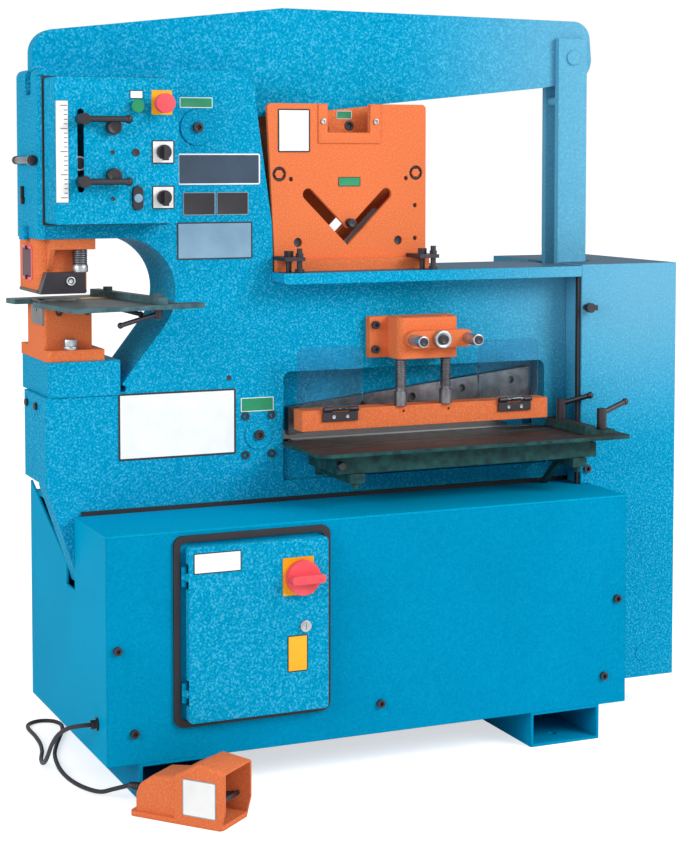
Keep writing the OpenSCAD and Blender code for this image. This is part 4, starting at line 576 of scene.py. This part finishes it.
# Bare plates on the front side plate
plateFace = -64
borderedPlate({"name": "namePlate", "span": (-366, -181, 1226, 1292), "face": plateFace, "corner": 5,
               "border": 3, "depth": 1.6}, "whitePlate", "slatePlate")
for name, span, corner, border, rim, field in (
        ("dataPlateLeft", (-354, -283, 1162, 1210), 2, 1.2, "greyPrint", "blackPlate"),
        ("dataPlateRight", (-279, -208, 1162, 1210), 2, 1.2, "greyPrint", "blackPlate"),
        ("chartPlate", (-368, -199, 1068, 1147), 3, 3, "blackPlate", "chartBlue"),
        ("pinPlateUpper", (-361, -288, 1388, 1410), 2, 1.5, "whitePlate", "greenPlate"),
        ("pinPlateLower", (-226, -151, 738, 768), 2, 1.5, "whitePlate", "greenPlate"),
        ("noticePlate", (-499, -238, 649, 790), 4, 4, "blackPlate", "whitePlate")):
    borderedPlate({"name": name, "span": span, "face": plateFace, "corner": corner, "border": border},
                  rim, field)
for name, x, z, r in (("pinBoltUpper", -322, 1347, 11), ("pinBoltLower", -186, 687, 10)):
    turnedPiece({"name": name, "foot": (x, plateFace - 0.5, z), "radius": r, "depth": 7,
                 "steps": [(r * boltRimShare, 0), (1.2, -4)], "edge": 0.8}, "black_oxide")
turnedPiece({"name": "frameBung", "foot": (-253, plateFace, 813), "radius": 5.5, "depth": 1.4,
             "steps": [(1.6, -0.6)], "edge": 0.4}, "black_oxide")
print("frame plates dressed")

# Angle shear: window cover with two screws, bare plates, stop pin at the V, plugs, moving block, rear sheet
angleFace = -66
blockFace = -25.5
windowCover = {"x": (-47, 101), "z": (1314, 1399), "open": (-25, 76), "sill": 1337, "depth": 3, "edge": 1.2}


def makeWindowCover(facts):
    (x0, x1), (z0, z1), (o0, o1) = mm(*facts["x"]), mm(*facts["z"]), mm(*facts["open"])
    face, depth = mm(angleFace, facts["depth"])
    cover = startBox((x0, face - depth, z0), (x1, face, z1))
    sill = facts["sill"] / perMetre
    slot = startBox((o0, face - cutMargin, sill), (o1, face + cutMargin, z1 + cutMargin))
    cutAway(cover, slot)
    roundEdges(cover, facts["edge"] / perMetre)
    return settle(cover, "windowCover", "frame", "orange_paint", finish("orange_paint"))


makeWindowCover(windowCover)
for name, x in (("coverScrewLeft", -36), ("coverScrewRight", 89)):
    turnedPiece({"name": name, "foot": (x, angleFace - windowCover["depth"], 1362), "radius": 6, "depth": 4,
                 "steps": socketHead}, "machined_steel")
borderedPlate({"name": "anglePlate", "span": (-140, -66, 1295, 1388), "face": angleFace, "corner": 3,
               "border": 3}, "blackPlate", "whitePlate")
borderedPlate({"name": "angleSizePlate", "span": (1, 53, 1221, 1241), "face": angleFace, "corner": 2,
               "border": 1.5}, "blackPlate", "greenPlate")
turnedPiece({"name": "veeStopKnob", "foot": (27, angleFace + 8, 1141), "radius": 10, "depth": 26,
             "steps": [(2.5, 1.5), (3, -1)], "edge": 1.2}, "black_oxide")
for i, (x, z, r) in enumerate([(-94, 1100, 9.8), (145, 1101, 9.8), (186, 1178, 4.8), (186, 1105, 4.8),
                               (-110, 1237, 4.8), (164, 1238, 4.8)]):
    turnedPiece({"name": "holePlug%d" % i, "foot": (x, angleFace + 8, z), "radius": r, "depth": 2,
                 "steps": [(r * rimShare, -0.8)], "edge": 0.3}, "black_oxide")
for name, x, z in (("boltRingLeft", -137, 1248), ("boltRingRight", 188, 1250)):
    turnedPiece({"name": name, "foot": (x, angleFace + 6.6, z), "radius": 15.8, "depth": 2.4,
                 "steps": [(4.6, 0), (0.4, -1.8)], "edge": 0.3}, "black_oxide")
borderedPlate({"name": "blockPlate", "span": (14, 50, 1368, 1386), "face": blockFace, "corner": 2,
               "border": 1, "body": "upper_arm"}, "whitePlate", "greenPlate")
for name, x, z in (("blockScrewLeft", -15.5, 1347.4), ("blockScrewRight", 44.2, 1353.4)):
    turnedPiece({"name": name, "foot": (x, blockFace + 7, z), "radius": 10.6, "depth": 8,
                 "body": "upper_arm", "steps": [(4.5, 0), (1.2, -4)]}, "black_oxide")


# A flat piece whose corners are rounded about one axis
def makeSheet(facts, axis, finishName):
    sheet = startBox(mm(*facts["low"]), mm(*facts["high"]))
    pick(sheet, "EDGE", alongAxis(axis))
    bpy.ops.mesh.bevel(offset=facts["corner"] / perMetre, segments=cornerSteps, affect="EDGES")
    leaveEdit()
    roundEdges(sheet, facts["edge"] / perMetre)
    return settle(sheet, facts["name"], "frame", finishName, finish(finishName))


makeSheet({"name": "angleRearSheet", "low": (-150, 64, 1240), "high": (-60, 67, 1388), "corner": 10,
           "edge": 0.6}, 1, "orange_paint")
print("angle shear dressed")

# Door: bare plates and the yellow plate behind the main switch
doorFace = -322
borderedPlate({"name": "doorPlate", "span": (-423, -322, 454, 496), "face": doorFace,
               "body": "electrical_door"}, "blackPlate", "whitePlate")
borderedPlate({"name": "doorPlateSmall", "span": (-222, -178, 235, 310), "face": doorFace,
               "body": "electrical_door"}, "blackPlate", "yellowPlate")
borderedPlate({"name": "switchPlate", "span": (-233, -165, 393.5, 471.5), "face": doorFace - 1.9,
               "corner": 2, "depth": 0.45, "border": 1, "body": "electrical_door",
               "hole": (-191, 430, 8.6)}, "yellowPlate", "yellowPlate")
print("door dressed")

# Head, jaw and stripper: side rod with caps, small lever, lip, screws, spring, window glass, table rule
headFace = -664


def makeSideRod(facts):
    y0, y1 = mm(*facts["run"])
    z, radius, capRadius = mm(facts["z"], facts["radius"], facts["capRadius"])
    rim, neck, cap, edge = mm(facts["rim"], facts["neck"], facts["cap"], facts["edge"])
    rod = startRound((headFace / perMetre - capRadius, (y0 + y1) / 2, z), radius, y1 - y0)
    rod.data.materials.append(finish("blade_steel"))
    rod.data.materials.append(finish("black_plastic"))
    for sign in (-1, 1):
        pick(rod, "FACE", facing(0, sign, 0))
        bpy.ops.mesh.inset(thickness=rim)
        bpy.ops.mesh.extrude_region_move(TRANSFORM_OT_translate={"value": (0, sign * neck, 0)})
        bpy.ops.transform.resize(value=(capRadius / radius, 1, capRadius / radius))
        bpy.ops.mesh.extrude_region_move(TRANSFORM_OT_translate={"value": (0, sign * cap, 0)})
    leaveEdit()
    roundEdges(rod, edge)
    for face in rod.data.polygons:
        if not y0 < face.center.y < y1:
            face.material_index = 1
    return settle(rod, "sideRod", "frame", "machined_steel")


makeSideRod({"run": (-48, 82), "z": 1278, "radius": 7, "capRadius": 9, "cap": 8, "rim": 0.2, "neck": 0.5,
             "edge": 0.8})
for name, y, z in (("jawScrewRear", 86, 764), ("jawScrewFront", 10, 764)):
    turnedPiece({"name": name, "axis": "X", "foot": (-654, y, z), "radius": 8, "depth": 6,
                 "steps": [(2.6, 0), (1, -3)]}, "black_oxide")


def makeStrikerLever(facts):
    x, y, z = mm(*facts["hub"])
    radius, thick, arm, edge = mm(facts["radius"], facts["thick"], facts["arm"], facts["edge"])
    lever = startRound((x - thick / 2, y, z), radius, thick, "X")
    pick(lever, "FACE", facing(0, 0, 1))
    bpy.ops.mesh.extrude_region_move(TRANSFORM_OT_translate={"value": (0, 0, arm)})
    leaveEdit()
    roundEdges(lever, edge)
    return settle(lever, "strikerLever", "frame", "black_oxide", finish("black_oxide"))


makeSheet({"name": "headLip", "low": (-676, 24, 1112), "high": (-663, 62, 1140), "corner": 5, "edge": 1}, 2,
          "blue_paint")
makeStrikerLever({"hub": (-664, 60, 1194), "radius": 8, "thick": 8, "arm": 22, "edge": 1.2})


# Stripper spring: rings of wire stacked round the stud
def makeSpring(facts):
    x, y, z = mm(*facts["foot"])
    radius, wire, bevel, pitch = mm(facts["radius"], facts["wire"], facts["bevel"], facts["pitch"])
    ring = startRound((x, y, z), radius, wire, "Z")
    pick(ring, "EDGE", lambda edge: not alongAxis(2)(edge))
    bpy.ops.mesh.bevel(offset=bevel, segments=3, affect="EDGES")
    leaveEdit()
    rings = [ring] + [copied(ring, (0, 0, i * pitch)) for i in range(1, facts["turns"])]
    return settle(joined(rings), "stripperSpring", "frame", "blade_steel", finish("blade_steel"))


springWire = 3.6        # millimetres, bevelled until nearly round
makeSpring({"foot": (-574, -47, 1063), "radius": 15.4, "wire": springWire, "bevel": springWire / 2.6,
            "pitch": 4.6, "turns": 7})
borderedPlate({"name": "stripperGlass", "side": "left", "span": (8, 92, 1028, 1100), "face": -659.6,
               "depth": 2.6, "corner": 9, "border": 6}, "redFrame", "plumGlass")
for name, z in (("glassScrewLow", 1033), ("glassScrewHigh", 1095)):
    turnedPiece({"name": name, "axis": "X", "foot": (-662, 50, z), "radius": 4.5, "depth": 3.4,
                 "steps": [(1.6, 0), (0.6, -1.6)]}, "black_oxide")
for name, axis, foot, radius, depth, sides in (
        ("stripperNut", "Z", (-574, -47, 1046.8), 16.95, 14.4, 32),
        ("holderWasher", "Z", (-596, -46, 885.8), 15.6, 7.4, 32),
        ("holderNut", "Z", (-596, -46, 893), 15.2, 14.6, 6),
        ("wedgeScrew", "Y", (-598, -60.5, 1029), 9.6, 5, 32)):
    turnedPiece({"name": name, "axis": axis, "foot": foot, "radius": radius, "depth": depth, "sides": sides,
                 "steps": [(radius * rimShare, 0), (1.4, -2)], "edge": 0.8, "slot": "machined_steel"},
                "machined_steel")


# Yellow rule let in beside the die, with plain marks
def makePunchRule(facts):
    half, side, thick = mm(facts["length"] / 2, facts["width"] / 2, facts["thick"])
    corner, proud, markHalf = mm(facts["corner"], facts["markProud"], facts["markWidth"] / 2)
    near, far = mm(*facts["markRun"])
    rule = startBox((-half, -side, 0), (half, side, thick))
    rule.data.materials.append(finish("yellowPlate"))
    pick(rule, "EDGE", alongAxis(2))
    bpy.ops.mesh.bevel(offset=corner, segments=3, affect="EDGES")
    leaveEdit()
    parts = [rule]
    for i in range(facts["marks"]):
        x = -half + (i + 1) * 2 * half / (facts["marks"] + 1)
        mark = startBox((x - markHalf, -side + near, 0), (x + markHalf, -side + far, thick + proud))
        mark.data.materials.append(finish("blackPlate"))
        roundEdges(mark, proud, 1)
        parts.append(mark)
    rule = joined(parts)
    rule.rotation_euler.z = math.radians(facts["turn"])
    rule.location = mm(*facts["place"])
    return settle(rule, "punchRule", "frame", "table_steel")


makePunchRule({"length": 78, "width": 22, "thick": 0.8, "corner": 1.5, "marks": 9, "markWidth": 1,
               "markRun": (1, 9), "markProud": 0.1, "turn": 9, "place": (-512, 44, 985)})
print("head dressed")

# Shear: bright sleeves with dark ends on the hold-down grips, hinge screws, knob under the table
handleFace, handleZ, hubX, gripReach = -162, 888, 203, 66
gripEnd = [(3, 1), (3, -1.4)]   # crown, then the dimple in it
for name, x in (("gripLeft", hubX - gripReach), ("gripRight", hubX + gripReach)):
    turnedPiece({"name": name + "Sleeve", "foot": (x, handleFace, handleZ), "radius": 12.8, "depth": 52.6,
                 "body": "hold_down_handle", "steps": [(1.5, 0.6), (2, 0)], "edge": 1}, "machined_steel")
    turnedPiece({"name": name + "End", "foot": (x, handleFace - 52, handleZ), "radius": 9.6, "depth": 4,
                 "body": "hold_down_handle", "steps": gripEnd, "edge": 0.8}, "black_oxide")
turnedPiece({"name": "handleHubSleeve", "foot": (hubX, handleFace, handleZ), "radius": 20, "depth": 15.4,
             "body": "hold_down_handle", "steps": [(3, 1.2), (5, -2)], "edge": 1}, "machined_steel")
turnedPiece({"name": "handleHubEnd", "foot": (hubX, handleFace - 14, handleZ), "radius": 11, "depth": 6,
             "body": "hold_down_handle", "steps": gripEnd, "edge": 0.8}, "black_oxide")
for name, x in (("hingeLeft", -18), ("hingeRight", 409)):
    for side, shift in (("A", -16), ("B", 16)):
        turnedPiece({"name": name + "Screw" + side, "foot": (x + shift, -123, 724), "radius": 4, "depth": 2,
                     "body": "hold_down", "steps": [(1.5, 0), (0.6, -1)], "edge": 0.4}, "machined_steel")
turnedPiece({"name": "tableKnob", "foot": (-70, -239.5, 638), "radius": 9, "depth": 14,
             "steps": [(2, 1.5), (3, -1)], "edge": 0.8}, "black_plastic")
print("shear dressed")

# Foot switch: cast housing with well rounded edges, bare plate on the hood's near side
footTurn = -50          # degrees about the upright
footPlace = (-566, -372, 0)
footCast = {"edge": 4.0, "segments": 3, "angle": 40, "weld": 0.01, "flat": 1, "hoodRound": 8.0,
            "hoodSteps": 5, "hoodFloor": 50, "skyward": 0.5}


def makeFootCast(facts):
    cast = copied(nodes["foot_switch_housing"], (0, 0, 0))
    cast.parent = None
    cast.matrix_world = nodes["foot_switch_housing"].matrix_world
    bpy.ops.object.select_all(action="DESELECT")
    cast.select_set(True)
    bpy.context.view_layer.objects.active = cast
    bpy.ops.object.mode_set(mode="EDIT")
    bpy.ops.mesh.select_all(action="SELECT")
    bpy.ops.mesh.remove_doubles(threshold=facts["weld"] / perMetre)
    bpy.ops.mesh.dissolve_limited(angle_limit=math.radians(facts["flat"]))
    leaveEdit()
    turn = math.radians(footTurn)
    across = Vector((-math.sin(turn), math.cos(turn), 0))
    hoodFloor = facts["hoodFloor"] / perMetre

    def isHoodEdge(edge):
        normals = [face.normal for face in edge.link_faces]
        underSky = any(n.z > facts["skyward"] for n in normals)
        onSide = any(abs(n.dot(across)) > sameLine for n in normals)
        return underSky and onSide and min(corner.co.z for corner in edge.verts) > hoodFloor

    pick(cast, "EDGE", isHoodEdge)
    bpy.ops.mesh.bevel(offset=facts["hoodRound"] / perMetre, segments=facts["hoodSteps"], affect="EDGES")
    leaveEdit()
    roundEdges(cast, facts["edge"] / perMetre, facts["segments"], facts["angle"])
    settle(cast, "footCast", "frame", "orange_paint", finish("orange_paint"))
    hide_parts("foot_switch_housing")


makeFootCast(footCast)
borderedPlate({"name": "footPlate", "span": (112, 186, 20, 92), "face": 0, "corner": 4, "border": 2,
               "turn": footTurn, "move": footPlace}, "greyPrint", "whitePlate")
print("foot switch dressed")

# Right cover: a bung low on its front
turnedPiece({"name": "coverBung", "foot": (743, -138, 132), "radius": 20, "depth": 1.4,
             "steps": [(2.4, -0.8)], "slot": "blue_paint"}, "blue_paint")
print("cover dressed")

# Floor and light: a white room, the floor keeps the machine's soft shadow
white = (1, 1, 1, 1)
studio = {"floor": 40.0, "floorZ": -0.0005, "floorGrey": (0.8, 0.8, 0.8, 1), "floorGlow": 0.62,
          "world": 0.60, "aim": (0, 0, 0.8), "lampSize": 2.6}
lamps = {"key": ((3.2, -4.2, 3.4), 224.0), "fill": ((-4.5, -2.0, 2.4), 110.0)}     # place, power


# What the camera sees, straight or in a mirror or glass, differs from what lights the machine
def rayMix(material, seen, lit):
    path = addNode(material, "ShaderNodeLightPath")
    first = addNode(material, "ShaderNodeMath", {0: path.outputs["Is Camera Ray"],
                    1: path.outputs["Is Glossy Ray"]}, operation="MAXIMUM")
    both = addNode(material, "ShaderNodeMath", {0: first.outputs["Value"],
                   1: path.outputs["Is Transmission Ray"]}, operation="MAXIMUM")
    return addNode(material, "ShaderNodeMixShader", {"Fac": both.outputs["Value"], 1: lit, 2: seen})


def makeWorld():
    world = bpy.data.worlds.new("studio")
    scene.world = world
    world.use_nodes = True
    world.node_tree.nodes.clear()
    lit = addNode(world, "ShaderNodeBackground", {"Color": white, "Strength": studio["world"]})
    seen = addNode(world, "ShaderNodeBackground", {"Color": white, "Strength": 1.0})
    mix = rayMix(world, seen.outputs["Background"], lit.outputs["Background"])
    addNode(world, "ShaderNodeOutputWorld", {"Surface": mix.outputs["Shader"]})


def makeFloor():
    bpy.ops.object.select_all(action="DESELECT")
    bpy.ops.mesh.primitive_plane_add(size=studio["floor"], location=(0, 0, studio["floorZ"]))
    floor = bpy.context.object
    floor.name = "floor"
    bpy.ops.object.transform_apply(location=True, rotation=True, scale=True)
    material, shader = newMaterial("paleFloor")
    shader.inputs["Base Color"].default_value = studio["floorGrey"]
    shader.inputs["Roughness"].default_value = 1.0
    shader.inputs["Specular IOR Level"].default_value = 0.0
    glow = addNode(material, "ShaderNodeEmission", {"Color": white, "Strength": studio["floorGlow"]})
    seen = addNode(material, "ShaderNodeAddShader", {0: shader.outputs["BSDF"],
                   1: glow.outputs["Emission"]})
    mix = rayMix(material, seen.outputs["Shader"], shader.outputs["BSDF"])
    surface = material.node_tree.nodes["Material Output"].inputs["Surface"]
    linkTo(material, mix.outputs["Shader"], surface)
    floor.data.materials.append(material)
    return floor


def makeLamp(name, place, power):
    data = bpy.data.lights.new(name, "AREA")
    data.size = studio["lampSize"]
    data.energy = power
    lamp = bpy.data.objects.new(name, data)
    scene.collection.objects.link(lamp)
    lamp.location = place
    lamp.rotation_euler = (Vector(studio["aim"]) - Vector(place)).to_track_quat("-Z", "Y").to_euler()


makeWorld()
makeFloor()
for name, (place, power) in lamps.items():
    makeLamp(name, place, power)
print("studio ready")
